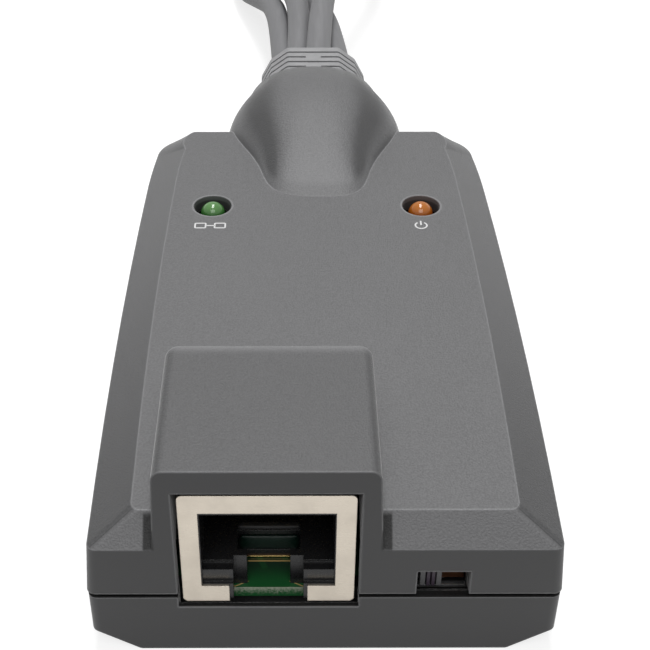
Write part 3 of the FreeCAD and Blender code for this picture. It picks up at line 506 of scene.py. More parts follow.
    def inputs(self, g: Graph) -> dict[str, Any]:
        """Lay the colour's tones over each other, with the painted shade and highlights, and raise the
        pebbles.

        Args:
            g: The material's graph.

        Returns:
            The shader's values and signals, by the names of its sockets.
        """
        p = self.point(g)
        pebble = g.noise(self.pebble, 2.5, 0.6)
        tone = pebble.rise(0.3, 0.7) * (p.above * 0.7 + 0.3) * 0.8 + g.noise(self.cloud) * 0.2
        colour = g.blend(tone, *(shade(self.colour, share) for share in self.tones))
        # painted shade: faces not turned up are darkened towards the front tone
        colour = g.blend(p.above, g.blend(0.8, colour, shade(self.colour, self.front_shade_tone)), colour)
        for share, layer in (
            (self.shadow_tone, self.shadows(p)),
            (self.glint_tone, self.glints(g, p)),
            # painted highlight along the edges, where the rounded normal turns
            (self.edge_highlight_tone, g.edge_highlight(self.edge) * 0.9),
            # painted shade in the seam, the socket's and switch's mouths and the hood's front flanks
            (self.gap_shade_tone, self.gap_shade(p)),
        ):
            colour = g.blend(layer, colour, shade(self.colour, share))
        pebbled = pebble * (p.above * 0.85 + 0.15)
        return {
            "Base Color": colour,
            "Roughness": pebble * 0.14 + (self.roughness - 0.07),
            "Normal": g.relief(pebbled, self.depth, g.rounding(self.edge)),
            "Specular IOR Level": 0.45,
            "Sheen Weight": 0.45,
            "Sheen Roughness": 0.3,
        }


@dataclass(frozen=True)
class SoftJacket(Finish):
    """The matte soft plastic of a lead or a strain relief, with faint drawing marks."""

    colour: Colour
    roughness: float = 0.55
    streak: Point = (0.5, 6.0, 0.5)
    edge: float = 0.12
    depth: float = 0.012

    def inputs(self, g: Graph) -> dict[str, Any]:
        """Draw the marks out along the lead and add a fine grain.

        Args:
            g: The material's graph.

        Returns:
            The shader's values and signals, by the names of its sockets.
        """
        streaks = g.stretched(self.streak, 3.0)
        height = g.noise(0.18) * 0.6 + streaks * 0.4
        dull, pale = (shade(self.colour, share) for share in (0.93, 1.07))
        return {
            "Base Color": g.blend(streaks.rise(0.25, 0.75), dull, pale),
            "Roughness": streaks * 0.15 + (self.roughness - 0.08),
            "Normal": g.relief(height, self.depth, g.rounding(self.edge)),
        }


@dataclass(frozen=True)
class PlatedMetal(Finish):
    """Plated sheet: fine rolling lines, faint stains and rounded edges."""

    colour: Colour
    roughness: float = 0.3
    lines: Point = (4.0, 4.0, 0.09)
    stain: float = 0.1
    edge: float = 0.12
    depth: float = 0.003

    def inputs(self, g: Graph) -> dict[str, Any]:
        """Stain the colour and score the lines.

        Args:
            g: The material's graph.

        Returns:
            The shader's values and signals, by the names of its sockets.
        """
        lines = g.stretched(self.lines)
        stains = g.noise(2.6, 4.0, 0.6)
        return {
            "Base Color": g.blend(stains.rise(0.35, 0.75), self.colour, shade(self.colour, 1 - self.stain)),
            "Metallic": 1.0,
            "Roughness": lines * 0.16 + stains * 0.12 + (self.roughness - 0.14),
            "Normal": g.relief(lines, self.depth, g.rounding(self.edge)),
        }


@dataclass(frozen=True)
class SolderMask(Finish):
    """The board: green mask with gilt tracks, pale sawn edge, and shade painted deeper in the socket, low
    on the sawn edge and at its ends.

    Places are in millimetres, back from the board's front edge or aside from the socket's middle.
    The veins are copper under the mask, in radians for a millimetre across and along.
    """

    mask: Colour = (0.012, 0.115, 0.03)
    # painted shade: the mask's colour deep in the socket
    deep: Colour = (0.005, 0.035, 0.014)
    gilt: Colour = (0.75, 0.52, 0.2)
    fibre: Colour = (0.6, 0.66, 0.52)
    # painted shade: the near-black of the board's ends seen in the gaps
    end_shade: Colour = (0.012, 0.012, 0.012)
    front: float = 2.0
    top: float = 6.3
    socket: float = -5.15
    socket_half: float = 7.75
    switch: float = 6.15
    shade_end: float = 3.4
    bar: Span = (3.2, 3.36)
    bar_half: float = 2.0
    diagonal: Span = (3.3, 3.5)
    diagonal_run: Span = (0.1, 0.75)
    diagonal_slope: float = 1.9
    coarse_veins: Span = (2.6, 1.1)
    fine_veins: Span = (-0.35, 0.9)

    def tracks(self, back: Signal, aside: Signal) -> Signal:
        """The gilt tracks: a bar across and a diagonal at each side.

        Args:
            back: Distance from the front edge.
            aside: Distance from the socket's middle.

        Returns:
            1 on a track.
        """
        lean = aside + back * self.diagonal_slope
        diagonal = lean.band(*self.diagonal, 0.03) * back.band(*self.diagonal_run, 0.05)
        bar = back.band(*self.bar, 0.03) * aside.rise(self.bar_half + 0.1, self.bar_half - 0.05)
        return diagonal.at_least(bar)

    def inputs(self, g: Graph) -> dict[str, Any]:
        """Lay the mask with its painted shade, the tracks, the sawn edge and the painted black ends over
        each other.

        Args:
            g: The material's graph.

        Returns:
            The shader's values and signals, by the names of its sockets.
        """
        across, along, up = g.axes()
        back = along + (FRONT_TO_ORIGIN - self.front)
        aside = abs(across - self.socket)
        coarse, fine = (
            (across * x + along * y).wave() for x, y in (self.coarse_veins, self.fine_veins)
        )
        copper = coarse.rise(0.55, 0.8) * fine.rise(0.0, 0.3)
        # painted shade: back from the front edge the mask darkens to the deep colour, copper veins showing
        # lighter
        mask = g.blend(copper * 0.5, self.deep, self.mask)
        mask = g.blend(back.rise(0.2, self.shade_end), self.mask, mask)
        colour = g.blend(self.tracks(back, aside), mask, self.gilt)
        # the fibre's grain, with painted shade: the sawn edge turns darker green towards its bottom
        weave = g.noise(0.22, 3.0, 0.7) + (up - self.top) * 0.45
        sawn = g.blend(weave.rise(0.05, 0.6), shade(self.mask, 1.5), self.fibre)
        edge = back.rise(0.03, 0.005)
        colour = g.blend(edge, colour, sawn)
        # painted shade: the board's ends beside the switch and the socket are blackened near the front
        ends = across.rise(self.switch - 0.05, self.switch + 0.05)
        ends = ends.at_least(aside.rise(self.socket_half - 0.05, self.socket_half + 0.05))
        return {
            "Base Color": g.blend(ends * back.rise(1.5, 1.4), colour, self.end_shade),
            "Roughness": edge * 0.45 + 0.28,
            "Normal": g.relief(copper * 0.3 + g.noise(0.4) * edge, 0.03),
        }


@dataclass(frozen=True)
class LampLens(Finish):
    """A tinted clear lens: darker at its foot, and paler towards its crown, where a highlight is painted
    into the tint.
    """

    colour: Colour
    # painted highlight: the paler tint at the crown
    crown: Colour
    top: float = 16.4
    height: float = 1.5

    def inputs(self, g: Graph) -> dict[str, Any]:
        """Lighten the tint towards the crown, as a painted highlight.

        Args:
            g: The material's graph.

        Returns:
            The shader's values and signals, by the names of its sockets.
        """
        _, _, up = g.axes()
        flaw = g.noise(0.8)
        # painted highlight: the tint lightens with height towards the crown
        pale = up.rise(self.top - self.height, self.top) * (flaw * 0.5 + 0.6)
        return {
            "Base Color": g.blend(pale, self.colour, self.crown),
            "Roughness": flaw * 0.06 + 0.05,
            "Coat Weight": 0.25,
            "Coat Roughness": 0.05,
        }


@dataclass(frozen=True)
class RibbedKnob(Finish):
    """The switch's knob: pale outer ribs, dusky inner ones."""

    outer: Colour = (0.2, 0.2, 0.205)
    inner: Colour = (0.075, 0.055, 0.08)
    left: float = 8.8
    width: float = 1.95
    rib: float = 0.52

    def inputs(self, g: Graph) -> dict[str, Any]:
        """Colour the ribs by their place across.

        Args:
            g: The material's graph.

        Returns:
            The shader's values and signals, by the names of its sockets.
        """
        across, _, _ = g.axes()
        inside = across.band(self.left + self.rib, self.left + self.width - self.rib, 0.03)
        grain = g.noise(0.25)
        pale = g.blend(grain, shade(self.outer, 0.85), self.outer)
        return {
            "Base Color": g.blend(inside, pale, self.inner),
            "Roughness": 0.4,
            "Normal": g.relief(grain, 0.01, g.rounding(0.06)),
        }


@dataclass(frozen=True)
class WovenStrap(Finish):
    """A woven strap: over-and-under threads that follow the strap's own length."""

    colour: Colour = (0.018, 0.018, 0.02)
    thread: float = 0.45
    depth: float = 0.1

    def inputs(self, g: Graph) -> dict[str, Any]:
        """Weave two sine waves, one along the strap and one across it.

        Args:
            g: The material's graph.

        Returns:
            The shader's values and signals, by the names of its sockets.
        """
        beat = math.pi / (self.thread * MM)
        along, across, _ = g.parts(g.signal("ShaderNodeTexCoord", out="UV"))
        weave = abs((along * beat).wave() * (across * beat).wave())
        fuzz = g.noise(0.3, 3.0, 0.7)
        tone = weave * 0.6 + fuzz * 0.4
        return {
            "Base Color": g.blend(tone, shade(self.colour, 0.5), shade(self.colour, 2.4)),
            "Roughness": 0.85,
            "Normal": g.relief(weave * 0.7 + fuzz * 0.3, self.depth),
            "Sheen Weight": 0.25,
        }


@dataclass(frozen=True)
class PrintedMark(Finish):
    """Opaque ink, slightly broken where the mould's texture shows through."""

    colour: Colour = (0.72, 0.72, 0.72)
    under: Colour = (0.3, 0.3, 0.31)

    def inputs(self, g: Graph) -> dict[str, Any]:
        """Break the ink up with fine noise."""
        worn = g.noise(0.12, 3.0, 0.7).rise(0.68, 0.8)
        return {"Base Color": g.blend(worn, self.colour, self.under), "Roughness": 0.5}


FINISHES: dict[str, Finish] = {
    "case_plastic": CasePlastic(),
    "board_green": SolderMask(),
    "shield_nickel": PlatedMetal((0.67, 0.605, 0.515), 0.3),
    "black_moulding": MouldedPlastic(
        (0.014, 0.014, 0.015), 0.28, grain=0.4, depth=0.006, mottle=0.12, edge=0.1
    ),
    "gilt": PlatedMetal((0.83, 0.62, 0.25), 0.25, lines=(0.1, 2.0, 2.0), stain=0.15, edge=0.05),
    "switch_steel": PlatedMetal((0.5, 0.5, 0.51), 0.38, lines=(3.0, 0.1, 3.0), stain=0.2, edge=0.06),
    "switch_black": MouldedPlastic(
        (0.012, 0.012, 0.013), 0.5, grain=0.3, depth=0.01, mottle=0.1, edge=0.05
    ),
    "copper": PlatedMetal((0.5, 0.22, 0.12), 0.35, lines=(2.0, 2.0, 0.08), stain=0.25, edge=0.04),
    "knob_grey": RibbedKnob(),
    "lamp_green": LampLens((0.015, 0.12, 0.015), crown=(0.12, 0.29, 0.085)),
    "lamp_orange": LampLens((0.36, 0.07, 0.002), crown=(0.52, 0.17, 0.015)),
    "tinned_wire": PlatedMetal((0.7, 0.7, 0.7), 0.3, lines=(0.1, 0.1, 2.0), stain=0.1, edge=0.04),
    "black_sleeve": MouldedPlastic((0.02, 0.02, 0.02), 0.5, grain=0.3, depth=0.01),
    "chip_black": MouldedPlastic(
        (0.025, 0.025, 0.026), 0.55, grain=0.2, depth=0.01, mottle=0.15, edge=0.08
    ),
    "crystal_can": PlatedMetal((0.75, 0.75, 0.74), 0.25, lines=(3.0, 0.12, 3.0), stain=0.08, edge=0.25),
    "capacitor_sleeve": MouldedPlastic(
        (0.03, 0.035, 0.09), 0.3, grain=0.5, depth=0.004, mottle=0.1, edge=0.2
    ),
    "header_white": MouldedPlastic((0.72, 0.7, 0.63), 0.45, grain=0.4, depth=0.008, mottle=0.05, edge=0.1),
    "wire_bundle": SoftJacket((0.3, 0.3, 0.3), 0.45, streak=(0.3, 3.0, 0.3)),
    "lead_jacket": SoftJacket((0.195, 0.195, 0.202)),
    "boot_rubber": SoftJacket((0.315, 0.315, 0.322), 0.5, streak=(1.2, 1.2, 1.2)),
    "screw_steel": PlatedMetal((0.62, 0.62, 0.64), 0.3, lines=(0.6, 0.6, 0.6), stain=0.15, edge=0.1),
    "tie_fabric": WovenStrap(),
    "plug_moulding": MouldedPlastic(
        (0.022, 0.022, 0.024), 0.5, grain=0.28, depth=0.02, mottle=0.12, edge=0.3
    ),
    "plug_plate": PlatedMetal((0.74, 0.73, 0.71), 0.26, lines=(4.0, 0.15, 4.0), stain=0.08, edge=0.12),
    "insert_blue": MouldedPlastic((0.015, 0.045, 0.3), 0.42, grain=0.4, depth=0.006, mottle=0.06, edge=0.1),
    "tongue_white": MouldedPlastic((0.8, 0.8, 0.79), 0.4, grain=0.4, depth=0.005, mottle=0.03, edge=0.1),
    "mic_moulding": MouldedPlastic((0.62, 0.17, 0.3), 0.48, grain=0.3, depth=0.015, mottle=0.06, edge=0.3),
    "out_moulding": MouldedPlastic((0.16, 0.5, 0.18), 0.48, grain=0.3, depth=0.015, mottle=0.06, edge=0.3),
    "sill_brown": MouldedPlastic((0.075, 0.042, 0.03), 0.4, grain=0.3),
    "panel_green": MouldedPlastic((0.004, 0.018, 0.012), 0.3, grain=0.5),
    "printed_mark": PrintedMark(),
}

class Palette:
    """The materials of the finishes, each made once."""

    def __init__(self) -> None:
        """Start with no material made."""
        self.made: dict[str, bpy.types.Material] = {}

    def dress(self, piece: bpy.types.Object, finish: str) -> None:
        """Give a piece a finish in place of what it has.

        Args:
            piece: The piece.
            finish: The finish's name, which is also its slot's where the record has one.
        """
        if finish not in self.made:
            self.made[finish] = FINISHES[finish].make(finish)
        piece.data.materials.clear()
        piece.data.materials.append(self.made[finish])

    def dress_nodes(self) -> None:
        """Give every stored node the finish that the record names for it."""
        for part in frame["record"]["subparts"]:
            self.dress(frame["nodes"][part["node"]], part["material_slot"])
        log.info("dressed %d stored nodes", len(frame["nodes"]))


# ---------------------------------------------------------------- surfaces
def add_object(name: str, data: bpy.types.ID) -> bpy.types.Object:
    """Add an object to the scene.

    Args:
        name: Its name.
        data: Its mesh, curve, light or camera.

    Returns:
        The object.
    """
    made = bpy.data.objects.new(name, data)
    bpy.context.scene.collection.objects.link(made)
    return made


def six_volumes(corners: np.ndarray) -> float:
    """Six times the volume from the origin to faces by corners by coordinates."""
    first, inner, outer = corners[:, :1], corners[:, 1:-1], corners[:, 2:]
    return float(np.sum(first * np.cross(inner, outer)))


class Surface:
    """A piece's mesh: closed shells worked out as whole arrays."""

    def __init__(self) -> None:
        """Start with no shell."""
        self.points: list[np.ndarray] = []
        self.faces: list[list[int]] = []
        self.flat: list[np.ndarray] = []
        self.count = 0

    def shell(self, grid: np.ndarray, ring: bool = False, flat: np.ndarray | None = None) -> "Surface":
        """Add a closed shell from a grid of sections.

        Each row of the grid is a closed section. Neighbouring rows are joined by four-sided faces,
        and the first and last rows are closed by a face each, or joined when the rows form a ring.

        Args:
            grid: Rows by points by three coordinates, in millimetres from the front face.
            ring: Whether the last row joins the first.
            flat: The surface's own two coordinates in millimetres, rows by points by two.

        Returns:
            The surface itself.
        """
        rows, sides = grid.shape[:2]
        points = grid.reshape(-1, 3)
        centred = points - points.mean(axis=0)
        following = np.arange(1, rows + 1 if ring else rows)[:, None]
        this, after = (following - 1) * sides, following % rows * sides
        j = np.arange(sides)
        k = (j + 1) % sides
        quads = np.stack([this + j, this + k, after + k, after + j], axis=-1).reshape(-1, 4)
        volume = six_volumes(centred[quads])
        faces = quads.tolist()
        if not ring:
            caps = [list(range(sides))[::-1], list(range(len(points) - sides, len(points)))]
            volume += six_volumes(centred[caps])
            faces += caps
        if volume < 0:
            faces = [face[::-1] for face in faces]
        self.faces += [[corner + self.count for corner in face] for face in faces]
        self.points.append(points)
        self.flat.append(np.zeros((len(points), 2)) if flat is None else flat.reshape(-1, 2) * MM)
        self.count += len(points)
        return self

    def finish(self, name: str, palette: Palette, slot: str, look: str | None = None) -> bpy.types.Object:
        """Make the piece.

        Args:
            name: The piece's name.
            palette: Where its material comes from.
            slot: The record's slot.
            look: Its finish, where that isn't the slot's own.

        Returns:
            The object.
        """
        mesh = bpy.data.meshes.new(name)
        mesh.from_pydata(placed(np.concatenate(self.points)).tolist(), [], self.faces)
        layer = mesh.uv_layers.new(name="flat")
        index = np.empty(len(mesh.loops), dtype=np.int32)
        mesh.loops.foreach_get("vertex_index", index)
        layer.data.foreach_set("uv", np.concatenate(self.flat)[index].ravel())
        mesh.shade_smooth()
        mesh.set_sharp_from_angle(angle=math.radians(CREASE))
        mesh.validate()
        mesh.update()
        piece = add_object(name, mesh)
        palette.dress(piece, look or slot)
        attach(piece, "module")
        log.info("%s: %d faces", name, len(self.faces))
        return piece


def turned(profile: Sequence[Span], centre: Point, sides: int = 48) -> np.ndarray:
    """Turn a profile about a line along Y.

    A point of the grid is the centre plus the profile's distance along Y, and its radius times the
    cosine and sine of the angle round the line.

    Args:
        profile: Distance along Y and radius, in millimetres.
        centre: Where the line starts.
        sides: Points round it.

    Returns:
        The grid.
    """
    along, radius = np.asarray(profile, dtype=float).T
    angle = np.linspace(0.0, math.tau, sides, endpoint=False)
    x = centre[0] + radius[:, None] * np.cos(angle)
    z = centre[2] + radius[:, None] * np.sin(angle)
    y = np.broadcast_to(centre[1] + along[:, None], x.shape)
    return np.stack([x, y, z], axis=-1)


def carried(path: np.ndarray, section: np.ndarray, up: Point, ring: bool = False) -> np.ndarray:
    """Carry a section along a path.

    Each row is the path's point plus the section's first coordinate along the side direction, which
    is square to the path and to up, and its second along up.

    Args:
        path: Points in millimetres.
        section: Points of the closed section.
        up: A direction square to the path everywhere.
        ring: Whether the path closes on itself.

    Returns:
        The grid.
    """
    if ring:
        ahead = np.roll(path, -1, axis=0) - np.roll(path, 1, axis=0)
    else:
        ahead = np.gradient(path, axis=0)
    ahead /= np.linalg.norm(ahead, axis=1, keepdims=True)
    side = np.cross(ahead, np.asarray(up, dtype=float))
    return path[:, None] + section[:, 0, None] * side[:, None] + section[:, 1, None] * np.asarray(up)


def soft_box(half_wide: float, half_high: float, corner: float, steps: int = 4) -> np.ndarray:
    """A rectangle with rounded corners: a quarter circle of points about each corner's centre.

    Args:
        half_wide: Half its width.
        half_high: Half its height.
        corner: The corners' radius.
        steps: Points in each corner.

    Returns:
        Its points, across and up from its middle.
    """
    quarter = np.linspace(0.0, math.pi / 2, steps)
    rounds = []
    for k, (sx, sy) in enumerate(((1, 1), (-1, 1), (-1, -1), (1, -1))):
        angle = quarter + k * math.pi / 2
        x = sx * (half_wide - corner) + corner * np.cos(angle)
        y = sy * (half_high - corner) + corner * np.sin(angle)
        rounds.append(np.stack([x, y], axis=1))
    return np.concatenate(rounds)


# ---------------------------------------------------------------- leads
class Side(Enum):
    """The side of the hank on which a lead comes in."""

    LEFT = -1
    RIGHT = 1


@dataclass
class Hank:
    """The leads' put-away length: loops at both ends and three strands each under the tie."""

    lead: float = 3.6
    radius: float = 10.8
    step: float = 3.8
    pitch: float = 3.7
    tie_thick: float = 0.8
    tie_width: float = 6.0
    start: float = 158.0
    droop: float = 0.7

    def __post_init__(self) -> None:
        """Work out the arcs' sizes from the named ones."""
        self.wide = self.radius + self.step
        self.offset = self.step / 2
        self.turn = math.acos((self.wide + self.offset) / (self.wide + self.radius))
        self.neck = (self.wide + self.radius) * math.sin(self.turn)
        self.entry = self.wide - self.offset
        self.near = self.start + self.lead / 2 + self.radius
        self.strap_start = self.near + self.neck
        self.strap_end = self.strap_start + self.tie_width
        self.far = self.strap_end + self.neck
        self.end = self.far + self.radius + self.lead / 2
        self.middle = (self.start + self.end) / 2

    def height(self, layer: int) -> float:
        """The height of a layer's strands under the tie."""
        return self.tie_thick + self.lead / 2 + layer * self.pitch

    def arc(self, x: float, y: float, radius: float, start: float, sweep: float) -> np.ndarray:
        """Spline points for an arc.

        The arc is cut into equal parts of at most 24 degrees. Each part gives the point where the
        tangents at its ends meet, which lies at the part's middle bearing, on the radius over the
        cosine of half the part.

        Args:
            x: The centre, across.
            y: The centre, along.
            radius: The arc's radius.
            start: The first bearing in radians.
            sweep: The angle it turns through.

        Returns:
            Rows of across and along.
        """
        parts = math.ceil(abs(sweep) / math.radians(24.0))
        bearing = start + sweep * (np.arange(parts) + 0.5) / parts
        reach = radius / math.cos(sweep / parts / 2)
        return np.stack([x + reach * np.cos(bearing), y + reach * np.sin(bearing)], axis=1)

    def turns(self, layer: int, side: Side) -> np.ndarray:
        """One lead's way through the hank.

        Args:
            layer: Its layer, from 0.
            side: Where it comes in.

        Returns:
            Its spline's points in millimetres, from one end of the hank to the other.
        """
        t, wide, r, half = self.turn, self.wide, self.radius, math.pi
        arcs = (
            (self.offset, self.near, wide, half, -t),
            (-self.step - r, self.strap_start, r, -t, t),
            (-self.step - wide, self.strap_end, wide, 0.0, t),
            (-self.offset, self.far, r, half + t, -half - 2 * t),
            (wide, self.strap_end, wide, half - t, t),
            (-wide, self.strap_start, wide, 0.0, -t),
            (self.offset, self.near, r, half - t, half + 2 * t),
            (self.step + wide, self.strap_start, wide, half + t, -t),
            (self.step + r, self.strap_end, r, half, -t),
            (-self.offset, self.far, wide, -t, t),
        )
        flat = np.concatenate([self.arc(*arc) for arc in arcs])
        flat = np.concatenate([[(-self.entry, self.start)], flat, [(self.entry, self.end)]])
        away = np.clip((abs(flat[:, 1] - self.middle) - self.tie_width) / self.neck, 0.0, 1.0)
        up = self.height(layer) - self.droop * away**2 * (3 - 2 * away)
        return np.stack([-side.value * flat[:, 0], flat[:, 1], up], axis=1)


@dataclass(frozen=True)
class Lead:
    """A lead: its way out of the strain relief, its turns in the hank and its way to its plug.

    Places are in millimetres from the front face, the plug's across and up. The tail's shares say
    how much of the way to the plug each of its points has gone, across, along and up.
    """

    name: str
    layer: int
    side: Side
    exit: Point
    bends: Sequence[Point]
    plug: Span
    plug_nodes: Sequence[str]
    length: float
    tail_run: float = 20.0
    tail_shares: Sequence[Point] = ((0.4, 0.32, 0.2), (0.6, 0.68, 0.8), (1.0, 1.0, 1.0))

    def tail(self, hank: Hank) -> np.ndarray:
        """The lead's points from the hank's far end to its plug.

        Args:
            hank: The hank it is folded into.

        Returns:
            Three points in millimetres, the last of them on the plug's back.
        """
        start = np.array((-self.side.value * hank.entry, hank.end, hank.height(self.layer)))
        way = np.array((self.plug[0] - start[0], self.tail_run, self.plug[1] - start[2]))
        return start + way * self.tail_shares

    def curve(self, hank: Hank) -> bpy.types.Curve:
        """One smooth spline through the lead's points, as thick as a lead.

        Args:
            hank: The hank it is folded into.

        Returns:
            The curve's data.
        """
        turns = hank.turns(self.layer, self.side)
        route = placed(np.concatenate([[self.exit], self.bends, turns, self.tail(hank)]))
        curve = bpy.data.curves.new(f"{self.name}_cord", "CURVE")
        curve.dimensions = "3D"
        spline = curve.splines.new("NURBS")
        spline.points.add(len(route) - 1)
        weighted = np.concatenate([route, np.ones((len(route), 1))], axis=1)
        spline.points.foreach_set("co", weighted.ravel())
        spline.order_u = 3
        spline.use_endpoint_u = True
        spline.resolution_u = 5
        curve.bevel_depth = hank.lead / 2 * MM
        curve.bevel_resolution = 5
        curve.use_fill_caps = True
        return curve

    def build(self, hank: Hank, palette: Palette, extra: Sequence[bpy.types.Object]) -> None:
        """Make the lead.

        Args:
            hank: The hank it is folded into.
            palette: Where its material comes from.
            extra: Pieces of the scene that are on the lead; not used.
        """
        cord = add_object(f"{self.name}_cord", self.curve(hank))
        palette.dress(cord, "lead_jacket")
        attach(cord, "module")
        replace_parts(cord, f"{self.name}_lead", f"{self.name}_tail", "cable_hank")
        log.info("%s: %d points", cord.name, len(cord.data.splines[0].points))


LEADS = (
    Lead(
        name="usb",
        layer=0,
        side=Side.LEFT,
        exit=(-3.85, BOOT_END, 10.5),
        bends=(
            (-4.05, 98.0, 10.65), (-4.5, 108.0, 10.8), (-5.1, 118.0, 10.7), (-6.2, 127.5, 9.5),
            (-8.8, 137.5, 6.4), (-11.3, 146.5, 3.7), (-12.5, 153.5, 2.75),
        ),
        plug=(12.9, 4.0),
        plug_nodes=("usb_overmould", "usb_shell", "usb_tongue", "usb_contacts"),
        length=0.331,
    ),
    Lead(
        name="audio_mic",
        layer=2,
        side=Side.LEFT,
        exit=(-2.1, BOOT_END, 13.75),
        bends=(
            (-2.0, 99.0, 13.95), (-1.75, 109.0, 14.0), (-2.1, 119.0, 13.8), (-3.9, 129.0, 13.1),
            (-7.4, 139.0, 12.2), (-11.4, 149.5, 10.75),
        ),
        plug=(8.3, 12.25),
        plug_nodes=("audio_mic_barrel", "audio_mic_pin"),
        length=0.332,
    ),
    Lead(
        name="video",
        layer=3,
        side=Side.RIGHT,
        exit=(0.65, BOOT_END, 16.3),
        bends=(
            (1.0, 99.0, 16.6), (1.5, 108.0, 16.7), (2.4, 118.0, 16.6), (4.5, 129.0, 16.0),
            (8.6, 140.0, 14.9), (11.9, 150.5, 14.0),
        ),
        plug=(-12.8, 7.7),
        plug_nodes=("video_hood", "video_shell", "video_insert", "video_pins"),
        length=0.332,
    ),
    Lead(
        name="audio_out",
        layer=1,
        side=Side.LEFT,
        exit=(4.1, BOOT_END, 13.3),
        bends=(
            (3.85, 98.0, 13.05), (3.3, 106.0, 12.6), (2.6, 114.5, 12.0), (1.1, 123.0, 11.2),
            (-2.0, 132.0, 10.0), (-6.6, 141.5, 8.5), (-11.4, 151.5, 6.75),
        ),
        plug=(17.5, 12.25),
        plug_nodes=("audio_out_barrel", "audio_out_pin"),
        length=0.334,
    ),
)


@dataclass
class LeadSet:
    """The four leads that leave the strain relief, folded into one hank."""

    hank: Hank = field(default_factory=Hank)
    leads: Sequence[Lead] = LEADS

    def build(self, palette: Palette, extra: dict[str, list[bpy.types.Object]]) -> None:
        """Make every lead, handing it the scene's pieces that are on it by its name."""
        for lead in self.leads:
            lead.build(self.hank, palette, extra.get(lead.name, []))


@dataclass
class TieStrap:
    """The woven strap round the hank's waist, its free end and its moulded buckle.

    Sizes are in millimetres. The free end's and the buckle's places are across, from the middle.
    """

    hank: Hank
    layers: int = 4
    corner: float = 1.5
    corner_points: int = 24
    play: Span = (0.02, 0.05)
    selvedge: float = 0.25
    free_end: Span = (3.4, -5.4)
    free_rows: int = 24
    lift: float = 0.045
    lift_from: float = 1.2
    lift_power: float = 1.4
    taper: Sequence[float] = (0.97, 0.9, 0.78, 0.6, 0.35)
    buckle_x: float = 3.2
    buckle_half: float = 2.4
    buckle_over: float = 0.9
    buckle_rise: float = 0.35
    buckle_rod: Point = (0.55, 0.45, 0.25)

    def top(self) -> float:
        """The height of the topmost strand's upper side."""
        return self.hank.height(self.layers - 1) + self.hank.lead / 2

    def section(self) -> np.ndarray:
        """The strap's section: a thin box with soft edges."""
        half_thick, half_wide = self.hank.tie_thick / 2, self.hank.tie_width / 2
        return soft_box(half_thick - self.play[0], half_wide - self.play[1], self.selvedge, 3)

    def woven(self, run: np.ndarray) -> np.ndarray:
        """The strap's own two coordinates, from the length run along it at each row."""
        around = np.linspace(0.0, self.hank.tie_width * 2, len(self.section()))
        return np.stack(np.broadcast_arrays(run[:, None], around), axis=-1)

    def add_loop(self, surface: Surface) -> None:
        """Carry the strap's section round the strands, along a rounded rectangle.

        Args:
            surface: The surface that it is added to.
        """
        h = self.hank
        low, high = h.tie_thick / 2, self.top() + h.tie_thick / 2
        half_wide = h.step + h.lead / 2 + h.tie_thick / 2
        ring = soft_box(half_wide, (high - low) / 2, self.corner, self.corner_points)
        path = np.stack([ring[:, 0], np.full(len(ring), h.middle), ring[:, 1] + (high + low) / 2], axis=1)
        run = np.concatenate([[0.0], np.cumsum(np.linalg.norm(np.diff(path, axis=0), axis=1))])
        surface.shell(carried(path, self.section(), (0, 1, 0), ring=True), ring=True, flat=self.woven(run))

    def add_free_end(self, surface: Surface) -> None:
        """Lay the free end on the top, lifting by a power of its distance from the buckle.

        Args:
            surface: The surface that it is added to.
        """
        h = self.hank
        x = np.linspace(*self.free_end, self.free_rows)
        lift = self.lift * np.clip(self.lift_from - x, 0.0, None) ** self.lift_power
        level = self.top() + h.tie_thick + h.tie_thick / 2 + lift
        grid = carried(np.stack([x, np.full(len(x), h.middle), level], axis=1), self.section(), (0, 1, 0))
        taper = np.concatenate([np.ones(len(x) - len(self.taper)), self.taper])
        grid[:, :, 1] = h.middle + (grid[:, :, 1] - h.middle) * taper[:, None]
        surface.shell(grid, flat=self.woven(x))

    def add_buckle(self, surface: Surface) -> None:
        """Carry a rod's section round a rounded rectangle that lies flat on the strap.

        Args:
            surface: The surface that it is added to.
        """
        h = self.hank
        over = self.buckle_over
        ring = soft_box(self.buckle_half, h.tie_width / 2 + over, over, 6)
        level = np.full(len(ring), self.top() + 2 * h.tie_thick + self.buckle_rise)
        path = np.stack([ring[:, 0] + self.buckle_x, ring[:, 1] + h.middle, level], axis=1)
        surface.shell(carried(path, soft_box(*self.buckle_rod, 3), (0, 0, 1), ring=True), ring=True)

    def build(self, palette: Palette) -> None:
        """Make the strap with its free end, and the buckle.

        Args:
            palette: Where the materials come from.
        """
        strap, buckle = Surface(), Surface()
        self.add_loop(strap)
        self.add_free_end(strap)
        self.add_buckle(buckle)
        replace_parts(strap.finish("tie_strap", palette, "tie_fabric"), "cable_tie")
        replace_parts(buckle.finish("tie_buckle", palette, "plug_moulding"), "cable_tie")


# ---------------------------------------------------------------- module
class Mark(Enum):
    """The small printed signs by the lamps, by their places across."""

    LINK = -12.6
    POWER = 12.2


